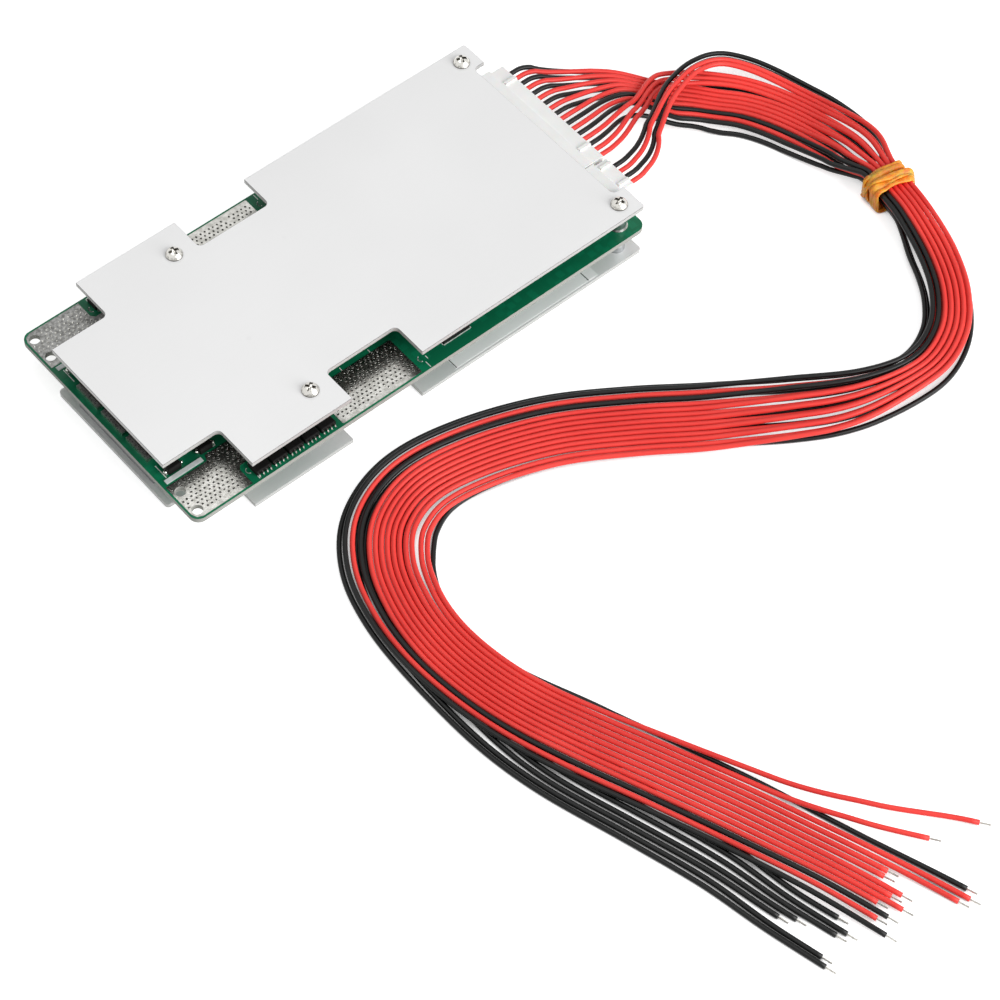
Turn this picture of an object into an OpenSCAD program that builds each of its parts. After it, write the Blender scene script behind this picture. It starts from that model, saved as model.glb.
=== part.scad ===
// Battery management board: a circuit board between two stamped heat-spreader plates,
// with two plugs at one end and a loom of 21 balance wires held by a rubber band.
// Origin: middle of the board with its plugs, on the surface. +X towards the plugs, +Z up.

/* [Circuit board] */
// Length of the circuit board
pcb_l = 160; // [156:1:170]
// Width of the circuit board
pcb_w = 80; // [78:1:90]
// Thickness of the circuit board
pcb_t = 1.6; // [1:0.2:2.4]
// Corner radius of the circuit board
pcb_r = 3; // [1:0.5:4]
// Thickness of the tinned copper pads
pad_t = 0.1; // [0.05:0.05:0.2]
// Diameter of the cable holes in the end tabs
tab_hole_d = 3.2; // [2.5:0.1:4]
// Distance of the cable holes from the end of the board
tab_hole_in = 2.8; // [2.6:0.1:5]
// Distance of the outer cable holes from the long edges
tab_hole_edge = 3.2; // [2.6:0.1:4]
// Spacing of the two cable holes of one tab
tab_hole_pitch = 7.5; // [5:0.1:8]

/* [Plates] */
// Length of the heat-spreader plates
plate_l = 158; // [150:1:165]
// Width of the heat-spreader plates
plate_w = 79; // [70:1:88]
// Thickness of the plates
plate_t = 1.5; // [1:0.1:2.5]
// Gap between the circuit board and the upper plate
upper_gap = 7.5; // [7:0.1:12]
// Gap between the lower plate and the circuit board
lower_gap = 8.2; // [6:0.1:12]
// Length of the corner notches
corner_notch_l = 18.6; // [12:0.1:22]
// Depth of the corner notches
corner_notch_w = 14.6; // [8:0.1:18]
// Length of the middle notches
mid_notch_l = 24.5; // [10:0.1:30]
// Depth of the middle notches
mid_notch_w = 11.5; // [6:0.1:14]
// Distance of the middle notches from the tab end of the plate
mid_notch_at = 52.5; // [50:0.1:60]
// Depth of the recess over the plugs
recess_d = 4; // [1:0.1:6]
// Radius of the inside corners of the notches
notch_r = 1.6; // [0.5:0.1:2.5]
// Radius of the outside corners of the plates
plate_r = 0.8; // [0.3:0.1:2]

/* [Screws and spacers] */
// Diameter of the plate screws
screw_d = 2.4; // [2:0.1:3]
// Diameter of the screw heads
head_d = 5; // [4:0.1:6.5]
// Height of the screw heads
head_h = 1.9; // [1.2:0.1:2.5]
// Diameter of the round spacers
spacer_d = 5; // [4:0.1:6]
// Distance of the end screws from the plug end of the plate
end_screw_in = 5.2; // [4:0.1:8]
// Distance of the end screws from the long edges of the plate
end_screw_edge = 5; // [4:0.1:8]
// Distance of the middle screws from the tab end of the plate
mid_screw_at = 45.5; // [40:0.1:49]
// Distance of the middle screws from the long edges of the circuit board
mid_screw_edge = 9.7; // [9.3:0.1:12.5]

/* [Plugs] */
// Contacts in the long plug
long_ways = 17; // [10:1:17]
// Contacts in the short plug
short_ways = 4; // [2:1:4]
// Spacing of the contacts
way_pitch = 2.5; // [2.5:0.1:2.7]
// How far the plugs reach past the end of the circuit board
plug_out = 4; // [2:0.5:8]
// Height of the plugs
plug_h = 4.8; // [4:0.1:5]
// Length of the plugs
plug_l = 15; // [12:0.5:18]
// Height of the contacts above the circuit board
way_z = 3.5; // [3.3:0.1:3.6]
// Plastic beyond the end contacts of a plug
plug_margin = 2.2; // [1.6:0.1:2.3]
// Wall of the headers
header_wall = 0.8; // [0.5:0.1:0.9]

/* [Power parts] */
// Rows of power transistors across the board
mos_rows = 3; // [2:1:3]
// Columns of power transistors along the board
mos_cols = 3; // [1:1:3]
// Height of the power transistors
mos_h = 4.4; // [3.6:0.1:5]
// Thickness of the carrier tab under a power transistor
mos_tab_t = 1.2; // [0.8:0.1:1.6]

/* [Label] */
// Length of the bare label on the lower plate
label_l = 52.5; // [20:0.5:60]
// Width of the bare label
label_w = 22; // [10:0.5:28]

/* [Wires] */
// Diameter of the balance wires
wire_d = 1.5; // [1.3:0.05:1.5]
// Diameter of the stripped and tinned wire ends
tip_d = 0.5; // [0.3:0.05:0.7]
// Length of the stripped and tinned wire ends
tip_l = 3; // [2:0.5:5]
// Width of the rubber band along the wires
band_w = 9; // [4:0.5:10]

/* [Hidden] */
$fn = 48;
slack = 0.1; // clearance of parts that fit in each other
bite = 1; // how far a cutter reaches past the face that it cuts

// levels, from the surface up
low_top = plate_t;
pcb_z = low_top + lower_gap;
pcb_top = pcb_z + pcb_t;
high_z = pcb_top + upper_gap;
high_top = high_z + plate_t;

// places along and across the board
total_l = pcb_l + plug_out;
tab_x = -total_l / 2; // tab end of the circuit board
pcb_x = tab_x + pcb_l / 2; // middle of the circuit board
plate_x = pcb_x - plate_l / 2; // tab end of the plates
plug_x = total_l / 2; // rear face of the plugs
front_y = -pcb_w / 2;
plate_y = -plate_w / 2;
screw_bore = screw_d + 0.4;
mid_screw_y = pcb_w / 2 - mid_screw_edge;
screw_places = [[plate_x + plate_l - end_screw_in, plate_y + end_screw_edge],
                [plate_x + plate_l - end_screw_in, -plate_y - end_screw_edge],
                [plate_x + mid_screw_at, -mid_screw_y],
                [plate_x + mid_screw_at, mid_screw_y]];
tab_hole_places = [for (side = [-1, 1], i = [0, 1])
    [tab_x + tab_hole_in, side * (pcb_w / 2 - tab_hole_edge - i * tab_hole_pitch)]];

// plugs and headers: contact 1 is at the rear, counting towards the front
plug_gap = 1.2; // between the two plugs
ways = long_ways + short_ways;
row_l = (ways - 2) * way_pitch + 2 * plug_margin + plug_gap; // first to last contact
row_mid = -0.7; // middle of the row across the board
long_l = (long_ways - 1) * way_pitch + 2 * plug_margin;
short_l = (short_ways - 1) * way_pitch + 2 * plug_margin;
way_level = pcb_top + way_z;
function way_y(i) = row_mid + row_l / 2 - (i - 1) * way_pitch
    - (i > long_ways ? 2 * plug_margin + plug_gap - way_pitch : 0);
header_l = plug_l - 4.5; // the plug stands this much out of its header
header_back = 1.2; // rear wall of a header
header_x = plug_x - plug_l - header_back - slack;
header_h = 2 * (way_level - pcb_top) - 0.4;
channel = 2; // square channel of a contact through the plug
contact_w = channel - slack;
header_side = header_wall * 0.6; // header beyond the plug at each side
wire_in = 2.5; // how deep a wire goes into the plug
pin_w = 0.64;
pin_in = 6; // how far a pin reaches into its contact
pin_hole_d = 1.05;

// ---- shapes used by several parts ----

// the sliver between a square corner and its fillet
module corner_sliver(r) {
    difference() {
        translate([-bite / 10, -bite / 10]) square(r + bite / 10);
        translate([r, r]) circle(r);
    }
}

// a rectangle from the origin with all four corners rounded
module round_rect(l, w, r) {
    difference() {
        square([l, w]);
        for (x = [0, 1], y = [0, 1])
            translate([x * l, y * w]) mirror([x, 0]) mirror([0, y]) corner_sliver(r);
    }
}

// a notch that opens towards -Y, its two inner corners rounded
module edge_notch(l, w) {
    difference() {
        translate([0, -bite]) square([l, w + bite]);
        for (x = [0, 1])
            translate([x * l, w]) mirror([x, 0]) mirror([0, 1]) corner_sliver(notch_r);
    }
}

// a notch that opens towards -X and -Y
module corner_notch() {
    difference() {
        translate([-bite, -bite]) square([corner_notch_l + bite, corner_notch_w + bite]);
        translate([corner_notch_l, corner_notch_w]) rotate(180) corner_sliver(notch_r);
    }
}

recess_edge = 9; // solid plate left beside the recess
module plate_outline() {
    difference() {
        round_rect(plate_l, plate_w, plate_r);
        for (side = [0, 1]) translate([0, side * plate_w]) mirror([0, side]) {
            corner_notch();
            translate([mid_notch_at, 0]) edge_notch(mid_notch_l, mid_notch_w);
        }
        translate([plate_l, recess_edge]) rotate(90)
            edge_notch(plate_w - 2 * recess_edge, recess_d);
    }
}

module at_screws() {
    for (p = screw_places) translate(p) children();
}

// a chip with a bevelled lid, its middle on the origin
module chip_body(l, w, h, bevel) {
    translate([0, 0, h / 2]) difference() {
        cube([l, w, h], center = true);
        for (side = [-1, 1]) {
            translate([side * l / 2, 0, h / 2]) rotate([0, side * 30, 0])
                cube([2 * bevel, w + bite, bevel], center = true);
            translate([0, side * w / 2, h / 2]) rotate([-side * 30, 0, 0])
                cube([l + bite, 2 * bevel, bevel], center = true);
        }
    }
}

// a bent lead towards +X: out of the body at height h, down, and along the board
module bent_lead(w, h, reach, t) {
    translate([0, w / 2, 0]) rotate([90, 0, 0]) linear_extrude(w)
        polygon([[0, h], [0, h - t], [reach * 0.35, h - t], [reach * 0.35, 0],
                 [reach, 0], [reach, t], [reach * 0.35 + t, t], [reach * 0.35 + t, h]]);
}

// ---- plates ----

module bottom_plate() {
    color([0.86, 0.87, 0.88]) translate([plate_x, plate_y, 0]) difference() {
        linear_extrude(plate_t) plate_outline();
        translate([-plate_x, -plate_y, -bite]) at_screws()
            cylinder(h = plate_t + 2 * bite, d = screw_d + slack);
    }
}

module top_plate() {
    color([0.9, 0.9, 0.91]) translate([plate_x, plate_y, high_z]) difference() {
        linear_extrude(plate_t) plate_outline();
        translate([-plate_x, -plate_y, -bite]) at_screws()
            cylinder(h = plate_t + 2 * bite, d = screw_bore);
    }
}

label_t = 0.1;
label_in = 0.6; // from the long edge
label_gap = 12.5; // from the middle notch
label_at = mid_notch_at + mid_notch_l + label_gap; // from the tab end of the plate
module plate_label() {
    color([0.95, 0.95, 0.95])
        translate([plate_x + label_at, plate_y + label_in, low_top])
            cube([label_l, label_w, label_t]);
}

// ---- circuit board ----

module circuit_board() {
    color([0.03, 0.36, 0.22]) difference() {
        translate([tab_x, front_y, pcb_z]) linear_extrude(pcb_t) round_rect(pcb_l, pcb_w, pcb_r);
        translate([0, 0, pcb_z - bite]) {
            at_screws() cylinder(h = pcb_t + 2 * bite, d = screw_bore);
            for (p = tab_hole_places) translate(p) cylinder(h = pcb_t + 2 * bite, d = tab_hole_d);
            for (i = [1:ways]) translate([pin_x, way_y(i)])
                cylinder(h = pcb_t + 2 * bite, d = pin_hole_d, $fn = 16);
        }
    }
}

pad_edge = 0.6; // green border between the pads and the board's edge
end_pad_l = corner_notch_l + 1.6;
end_pad_w = corner_notch_w - 1;
mid_pad_in = 3.2; // how far a middle pad starts before its notch
mid_pad_w = mid_notch_w + 2.6;
mid_pad_x = plate_x + mid_notch_at - mid_pad_in;
pad_gap = 0.6; // between the end pad and what lies beside it
ring_d = spacer_d + 0.8; // tinned rings under the spacers
module solder_pads() {
    difference() {
        for (side = [0, 1]) mirror([0, side]) {
            translate([tab_x + pad_edge, front_y + pad_edge])
                round_rect(end_pad_l, end_pad_w, pcb_r - pad_edge / 2);
            translate([mid_pad_x, front_y + pad_edge])
                round_rect(mid_notch_l + mid_pad_in, mid_pad_w, 0.5);
        }
        for (p = tab_hole_places) translate(p) circle(d = tab_hole_d);
    }
    at_screws() difference() {
        circle(d = ring_d);
        circle(d = screw_bore);
    }
}

module solder_pads_top() {
    color([0.78, 0.78, 0.75]) translate([0, 0, pcb_top]) linear_extrude(pad_t) solder_pads();
}

module solder_pads_bottom() {
    color([0.78, 0.78, 0.75]) translate([0, 0, pcb_z - pad_t]) linear_extrude(pad_t) solder_pads();
}

bus_l = 12.2;
bus_w = 1.4;
bus_t = 0.3;
bus_in = 1.5; // from the end of the board
bus_y = front_y + pad_edge + end_pad_w + pad_gap;
module bus_strips() {
    color([0.82, 0.83, 0.82]) for (side = [0, 1]) mirror([0, side])
        translate([tab_x + bus_in, bus_y, pcb_top]) cube([bus_l, bus_w, bus_t]);
}

// ---- power parts: the same pattern on both sides of the board ----

mos_l = 9.2;
mos_w = 10;
mos_lead_out = 4.2;
mos_pitch_x = mos_l + mos_lead_out + 2;
mos_pitch_y = 11.2;
mos_x = plate_x + 2; // first column, tab end of the bodies
mos_places = [for (i = [0:mos_cols - 1], j = [0:mos_rows - 1])
    [mos_x + mos_l / 2 + i * mos_pitch_x, (j - (mos_rows - 1) / 2) * mos_pitch_y]];

module power_transistors() {
    for (p = mos_places) translate([p.x, p.y, mos_tab_t])
        chip_body(mos_l, mos_w, mos_h - mos_tab_t, 0.5);
}

lead_t = 0.5;
module transistor_leads() {
    for (p = mos_places) translate(p) {
        translate([-mos_l / 2 - 1.2, -mos_w / 2 + 0.2, 0])
            cube([mos_l + 0.6, mos_w - 0.4, mos_tab_t]);
        for (y = [-1, 0, 1]) translate([mos_l / 2, y * 2.54, 0])
            bent_lead(0.9, mos_h / 2 + lead_t, y == 0 ? 1.6 : mos_lead_out, lead_t);
    }
}

module power_transistors_top() {
    color([0.1, 0.1, 0.11]) translate([0, 0, pcb_top]) power_transistors();
}

module transistor_leads_top() {
    color([0.7, 0.7, 0.7]) translate([0, 0, pcb_top]) transistor_leads();
}

module power_transistors_bottom() {
    color([0.1, 0.1, 0.11]) translate([0, 0, pcb_z]) mirror([0, 0, 1]) power_transistors();
}

module transistor_leads_bottom() {
    color([0.7, 0.7, 0.7]) translate([0, 0, pcb_z]) mirror([0, 0, 1]) transistor_leads();
}

thermal_l = mos_cols * mos_pitch_x - mos_lead_out;
thermal_w = mos_rows * mos_pitch_y;
module upper_thermal_pad() {
    color([0.62, 0.66, 0.7]) translate([mos_x - 0.5, -thermal_w / 2, pcb_top + mos_h])
        cube([thermal_l, thermal_w, upper_gap - mos_h]);
}

module lower_thermal_pad() {
    color([0.62, 0.66, 0.7]) translate([mos_x - 0.5, -thermal_w / 2, low_top])
        cube([thermal_l, thermal_w, lower_gap - mos_h]);
}

// ---- small parts on the upper side ----

driver_pitch = 5.5;
driver_l = 4.9;
driver_w = 3.9;
driver_h = 1.5;
driver_lead = 1;
ring_gap = 0.15; // between the leads and the rings of the middle screws
driver_y = -(mid_screw_y + ring_d / 2 + ring_gap + driver_lead + driver_w / 2);
driver_gap = 0.95; // between the end pad and the first chip
driver_x = tab_x + pad_edge + end_pad_l + driver_gap + driver_l / 2; // first chip
driver_room = mid_pad_x - pad_gap - driver_l / 2 - driver_x; // up to the middle pad
driver_count = floor(driver_room / driver_pitch) + 1;
driver_places = [for (side = [-1, 1], i = [0:driver_count - 1])
    [driver_x + i * driver_pitch, -side * driver_y]];
module driver_chips() {
    color([0.12, 0.11, 0.12]) for (p = driver_places) translate([p.x, p.y, pcb_top])
        chip_body(driver_l, driver_w, driver_h, 0.25);
}

small_lead_t = 0.2;
module driver_leads() {
    color([0.8, 0.8, 0.78]) for (p = driver_places, s = [-1, 1], k = [-1.5:1:1.5])
        translate([p.x + k * 1.27, p.y + s * driver_w / 2, pcb_top]) rotate(s * 90)
            bent_lead(0.4, driver_h / 2, driver_lead, small_lead_t);
}

shunt_l = 3.2;
shunt_w = 12;
shunt_h = 1;
shunt_y = 10;
shunt_pitch = 5;
shunt_x = plate_x + mid_notch_at + 6;
module shunt_resistors() {
    color([0.35, 0.36, 0.38]) for (i = [0:3], side = [-1, 1])
        translate([shunt_x + i * shunt_pitch, side * shunt_y, pcb_top + shunt_h / 2])
            cube([shunt_l, shunt_w, shunt_h], center = true);
}

// two clamp diodes beside each end pad
diode_l = 4;
diode_w = 2.6;
diode_h = 2.2;
diode_end = 0.5;
diode_end_w = 1.4;
diode_at = [5.9, 16.4]; // from the end of the board
diode_y = bus_y + bus_w + pad_gap + diode_w / 2;
diode_places = [for (side = [-1, 1], x = diode_at) [tab_x + x, -side * diode_y]];
module clamp_diodes() {
    color([0.12, 0.1, 0.1]) for (p = diode_places) translate([p.x, p.y, pcb_top])
        chip_body(diode_l, diode_w, diode_h, 0.3);
}

module diode_ends() {
    color([0.85, 0.85, 0.84]) for (p = diode_places, s = [-1, 1])
        translate([p.x + s * (diode_l + diode_end) / 2, p.y, pcb_top + diode_h / 4])
            cube([diode_end, diode_end_w, diode_h / 2], center = true);
}

// the measuring part of the board: columns counted back from the headers
column_step = 12;
column_gap = 10;
channel_back = 21.7; // from the headers to the last column of balancing channels
channel_x = header_x - channel_back;
capacitor_x = channel_x - column_step - column_gap;
chip_x = capacitor_x - column_gap;
capacitor_l = 2;
inductor_w = 9.4;
inductor_h = 4;
inductor_gap = 5.1; // from the column of capacitors
inductor_edge = 4.1; // from the board's edge
inductor_x = capacitor_x - capacitor_l / 2 - inductor_gap - inductor_w / 2;
inductor_y = front_y + inductor_edge + inductor_w / 2;
monitor_w = 7;
monitor_h = 1.4;
monitor_gap = 2; // between the outer chips' leads and the inductor
monitor_lead = 1;
monitor_pitch = -inductor_y - inductor_w / 2 - monitor_gap - monitor_lead - monitor_w / 2;
monitor_places = [for (j = [-1, 0, 1]) [chip_x, j * monitor_pitch]];
module monitor_chips() {
    color([0.1, 0.1, 0.11]) for (p = monitor_places) translate([p.x, p.y, pcb_top])
        chip_body(monitor_w, monitor_w, monitor_h, 0.25);
}

module monitor_leads() {
    color([0.8, 0.8, 0.78]) for (p = monitor_places, q = [0:3], k = [-4:4])
        translate([p.x, p.y, pcb_top]) rotate(q * 90)
            translate([monitor_w / 2, k * 0.65, 0]) bent_lead(0.3, monitor_h / 2, monitor_lead, small_lead_t);
}

// one balancing channel for each cell, in two columns
channels = ways - 1;
resistor_l = 6.4;
resistor_w = 3.2;
resistor_h = 0.6;
channel_pitch = 2 * resistor_w;
small_l = 1.4; // balancing transistors
small_w = 2.9;
small_h = 1.1;
function channel_place(k) = [channel_x - (1 - k % 2) * column_step,
    (floor(k / 2) - (channels / 2 - 1) / 2) * channel_pitch];
module balance_resistors() {
    color([0.14, 0.14, 0.15]) for (k = [0:channels - 1]) translate(channel_place(k))
        translate([0, 0, pcb_top + resistor_h / 2])
            cube([resistor_l, resistor_w, resistor_h], center = true);
}

module balance_transistors() {
    color([0.12, 0.12, 0.12]) for (k = [0:channels - 1]) translate(channel_place(k))
        translate([-(resistor_l + small_l) / 2 - 1.3, 0, pcb_top])
            chip_body(small_l, small_w, small_h, 0.2);
}

capacitor_w = 1.25;
capacitor_h = 0.8;
capacitor_spread = 1.2; // a little wider apart than the contacts
module filter_capacitors() {
    color([0.68, 0.55, 0.4]) for (i = [1:ways])
        translate([capacitor_x, way_y(i) * capacitor_spread, pcb_top + capacitor_h / 2])
            cube([capacitor_l, capacitor_w, capacitor_h], center = true);
}

// moulded inductor of the board's own supply, at the front edge
module supply_inductor() {
    color([0.13, 0.11, 0.1]) translate([inductor_x, inductor_y, pcb_top])
        chip_body(inductor_w, inductor_w, inductor_h, 0.5);
}

// ---- headers and plugs ----

module header(first, last, l) {
    y0 = way_y(last) - plug_margin - header_side;
    w = l + 2 * header_side;
    translate([header_x, y0, pcb_top]) difference() {
        cube([header_l + header_back, w, header_h]);
        translate([header_back, header_side - slack / 2, way_z - plug_h / 2 - slack / 2])
            cube([header_l + bite, l + slack, plug_h + slack]);
        for (i = [first:last])
            translate([-bite, way_y(i) - y0 - (pin_w + slack) / 2, way_z - (pin_w + slack) / 2])
                cube([header_back + 2 * bite, pin_w + slack, pin_w + slack]);
    }
}

module header_long() {
    color([0.93, 0.92, 0.89]) header(1, long_ways, long_l);
}

module header_short() {
    color([0.93, 0.92, 0.89]) header(long_ways + 1, ways, short_l);
}

pin_x = header_x - 1.6;
pin_end = plug_x - plug_l + pin_in;
module header_pins() {
    color([0.8, 0.76, 0.62]) for (i = [1:ways]) translate([pin_x, way_y(i), 0]) {
        translate([-pin_w / 2, -pin_w / 2, way_level - pin_w / 2])
            cube([pin_end - pin_x + pin_w / 2, pin_w, pin_w]);
        translate([-pin_w / 2, -pin_w / 2, pcb_z - 1])
            cube([pin_w, pin_w, way_level - pcb_z + 1 + pin_w / 2]);
    }
}

rib_w = 1.2;
rib_h = 0.6;
module plug(first, last, l) {
    y0 = way_y(last) - plug_margin;
    translate([plug_x - plug_l, y0, way_level - plug_h / 2]) difference() {
        union() {
            cube([plug_l, l, plug_h]);
            for (y = [l * 0.12, l * 0.88 - rib_w]) // grip ribs clear of the header
                translate([header_l + 0.4, y, plug_h - slack])
                    cube([plug_l - header_l - 0.4, rib_w, rib_h + slack]);
        }
        for (i = [first:last])
            translate([-bite, way_y(i) - y0 - channel / 2, (plug_h - channel) / 2])
                cube([plug_l + 2 * bite, channel, channel]);
    }
}

module plug_long() {
    color([0.95, 0.95, 0.93]) plug(1, long_ways, long_l);
}

module plug_short() {
    color([0.95, 0.95, 0.93]) plug(long_ways + 1, ways, short_l);
}

contact_front = 1; // set back behind the front face of the plug
module crimp_contacts() {
    contact_l = plug_l - contact_front - wire_in;
    color([0.8, 0.76, 0.62]) for (i = [1:ways])
        translate([plug_x - wire_in - contact_l, way_y(i), way_level]) difference() {
            translate([0, -contact_w / 2, -contact_w / 2]) cube([contact_l, contact_w, contact_w]);
            translate([-bite, -(pin_w + slack) / 2, -(pin_w + slack) / 2])
                cube([pin_in + bite, pin_w + slack, pin_w + slack]);
        }
}

// ---- spacers and screws ----

module spacers(h) {
    at_screws() difference() {
        cylinder(h = h, d = spacer_d);
        translate([0, 0, -bite]) cylinder(h = h + 2 * bite, d = screw_bore);
    }
}

module lower_spacers() {
    color([0.7, 0.71, 0.72]) translate([0, 0, low_top]) spacers(lower_gap - pad_t);
}

module upper_spacers() {
    color([0.7, 0.71, 0.72]) translate([0, 0, pcb_top + pad_t]) spacers(upper_gap - pad_t);
}

slot_w = 0.8; // one arm of the cross recess
slot_l = 2.8;
slot_d = 1.1;
module plate_screws() {
    dome_r = head_d * 0.62;
    color([0.72, 0.71, 0.68]) at_screws() translate([0, 0, high_top]) {
        difference() {
            intersection() {
                cylinder(h = head_h, d = head_d);
                translate([0, 0, head_h - dome_r]) sphere(dome_r);
            }
            for (a = [0, 90]) rotate(a + 20) translate([-slot_l / 2, -slot_w / 2, head_h - slot_d])
                cube([slot_l, slot_w, slot_d + bite]);
        }
        translate([0, 0, 0.4 - high_top]) cylinder(h = high_top - 0.4 + slack, d = screw_d);
    }
}

// ---- balance wires ----

// middle line of the loom on the surface, by hand, from the plugs to the bare ends
loom_line = [[plug_x - wire_in, -1], [90, -1], [103, -1], [116, -4], [128, -9], [138, -18],
    [145, -32], [148, -48], [147.5, -60], [146, -69], [143.5, -82], [139, -96],
    [131.5, -109], [121, -118.5], [107, -122.5], [89, -118.5], [71, -109], [54, -97],
    [35, -83.5], [15, -71.5], [-6, -64], [-24, -62], [-38, -67], [-47, -77], [-52, -90],
    [-54, -104], [-53.5, -120], [-51, -136], [-46, -153], [-38, -174], [-30, -196],
    [-24, -216], [-18, -236]];
line_last = len(loom_line) - 1;

// the wires of the upper and of the lower layer, from the outside of the first bend inwards
upper_wires = [19, 21, 14, 16, 17, 2, 4, 6, 8, 10, 11, 12, 13];
lower_wires = [18, 20, 1, 3, 5, 7, 9, 15];
layer_h = 1.62;
flat_up = [for (i = upper_wires) 1];
flat_low = [for (i = lower_wires) 0];
heap_up = [for (i = [0:12]) i % 2 == 0 ? 3 : 2];
heap_low = [for (i = [0:7]) i % 2];
lifted_up = [for (h = heap_up) h + 0.7];
lifted_low = [for (h = heap_low) h + 0.7];
band_up = [for (i = [0:12]) (6 - i) * 0.82];
band_low = [for (i = [0:7]) (3 - i) * 1.1 + (i % 2) * 0.5];
bend_up = [for (i = [0:12]) (6 - i) * 0.875];
bend_low = [6.3, 3.6, 2, 0.6, -2.2, -3.2, -6, -7];

// by hand: [place along the line, places across it of the upper and of the lower layer,
// heights of the upper and of the lower layer in wire layers]
stations = [
    [2.2, [-12.6, -16.6, -1.2, -3.7, -6.1, 14.6, 12.5, 10.4, 8.3, 6.2, 4.1, 2.1, 0.2],
        [-10.6, -14.6, 16, 13.6, 11.2, 8.8, 6.4, -3],
        [8.6, 8.6, 6.5, 6.5, 6.5, 5.4, 5.4, 5.4, 5.4, 5.4, 5.4, 5.4, 5.4],
        [7.5, 7.5, 4.1, 4.1, 4.1, 4.1, 4.1, 4.1]],
    [3.3, [-0.4, -3.2, 8.8, 6.4, 4, 6.9, 4.8, 2.7, 0.6, -1.5, -3.6, -5.6, -7.7],
        [3.2, 0.6, 7.8, 5.4, 3, 0.6, -1.8, -8.5],
        [6.8, 6.8, 3.6, 3.6, 3.6, 2.3, 2.3, 2.3, 2.3, 2.3, 2.3, 2.3, 2.3],
        [5.5, 5.5, 1, 1, 1, 1, 1, 1]],
    [4.6, [10.6, 8.9, 7.2, 5.5, 3.8, 2.1, 0.4, -1.3, -3, -4.7, -6.4, -8.1, -9.9],
        [14.6, 12.4, 5.5, 3, 0.5, -2, -6, -12.3],
        [4, 4, 2, 2, 2, 1, 1, 1, 1, 1, 1, 1, 1], [3, 3, 0, 0, 0, 0, 0, 0]],
    [6, [10, 8.3, 6.6, 4.9, 3.2, 1.5, -0.2, -1.9, -3.6, -5.4, -7.2, -9, -10.8],
        [13.6, 11.9, 5, 2.5, 0, -2.5, -6.4, -12.4], flat_up, flat_low],
    [7.3, [8.8, 7.2, 5.6, 4, 2.4, 0.8, -0.8, -2.4, -4, -5.6, -7.2, -8.8, -10.4],
        [11.4, 9.2, 5, 2.5, 0, -2.5, -5, -10], heap_up, heap_low],
    [8.5, band_up, band_low, lifted_up, lifted_low],
    [9.6, band_up, band_low, lifted_up, lifted_low],
    [11, bend_up, bend_low, heap_up, heap_low],
    [14, bend_up, bend_low, heap_up, heap_low],
    [15.8, [11.2, 9.6, 8, 6.4, 4.8, 3.2, 1.6, 0, -1.6, -3.2, -4.8, -6.4, -8],
        [9.4, 6, 4, 1.5, -1, -3.5, -7.2, -9.8], heap_up, heap_low],
    [17.5, [12, 10.2, 8.4, 6.7, 5, 3.3, 1.6, -0.1, -1.8, -3.6, -5.5, -7.4, -9.4],
        [9.4, 6, 4, 1.5, -1.2, -4.6, -8.3, -11.1], flat_up, flat_low],
    [20, [12, 10.2, 8, 6.3, 4.6, 2.9, 1.2, -0.5, -2.2, -4, -6, -8, -10],
        [11.2, 6, 4, 1, -2, -5, -8.8, -11.8], flat_up, flat_low],
    [22.3, [11.2, 9.5, 7, 5.4, 3.6, 2, 0.4, -1.2, -2.8, -4.4, -6.8, -9, -11],
        [12.9, 4.6, 2.8, 1, -2, -5.7, -7.9, -12.6], flat_up, flat_low],
    [25, [9.6, 8, 6.4, 4.8, 3.2, 1.6, 0, -1.6, -3.2, -4.8, -6.4, -8, -9.6],
        [9, 5, 3, 0.6, -2.4, -5.6, -8.8, -11], flat_up, flat_low],
    [28, [13.2, 11.4, 9.7, 8, 6.3, 4.6, 2.9, 1.2, -0.5, -2.2, -3.9, -5.6, -7.5],
        [14.8, 2, -4.7, -7, -9.4, -11.4, -13.4, -15.2], flat_up, flat_low],
    [30, [17.5, 13.6, 11.6, 9.8, 8, 6.2, 4.4, 2.6, 0.8, -1, -2.7, -4.4, -6.3],
        [15.3, -4, -7, -9.4, -11.8, -13.8, -16, -18.1], flat_up, flat_low],
    [31.2, [25, 18.9, 13.4, 11.5, 9.6, 7.8, 5.9, 4.2, 2.5, 0.8, -1, -2.8, -5.2],
        [16.2, -7, -9.4, -11.4, -13.4, -15.4, -18.4, -20.2], flat_up, flat_low],
    [32.9, [38, 29, 15.6, 13.4, 11.6, 9.8, 7, 5.3, 3.6, 1.9, -0.4, -2.4, -5.2],
        [17.8, -7.6, -10.4, -12.2, -14.2, -16.1, -19.6, -21.4],
        [for (i = upper_wires) 0], flat_low]];
// where each wire ends, along the line, wire 1 first
wire_ends = [31.8, 31.8, 31.7, 32.1, 31.2, 32, 31, 32.2, 31.7, 31.9, 32.1, 32, 32.2, 32.8,
    31.8, 32.7, 31.8, 32.7, 32.4, 31.6, 32];

function slope(p, q, k) = (q[k] - p[k]) / (q[0] - p[0]);
function knot_slope(s, j, k) = j == 0 || j == len(s) - 1 ? 0 :
    let (a = slope(s[j - 1], s[j], k), b = slope(s[j], s[j + 1], k))
    a * b <= 0 ? 0 : 2 * a * b / (a + b);
// smooth value k of a table of knots at place u, without overshoot
function eased(s, k, u) =
    let (j = max([for (i = [0:len(s) - 2]) if (i == 0 || s[i][0] <= u) i]),
         h = s[j + 1][0] - s[j][0], t = min((u - s[j][0]) / h, 1))
    (2 * t^3 - 3 * t^2 + 1) * s[j][k] + (t^3 - 2 * t^2 + t) * h * knot_slope(s, j, k)
    + (3 * t^2 - 2 * t^3) * s[j + 1][k] + (t^3 - t^2) * h * knot_slope(s, j + 1, k);

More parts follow.
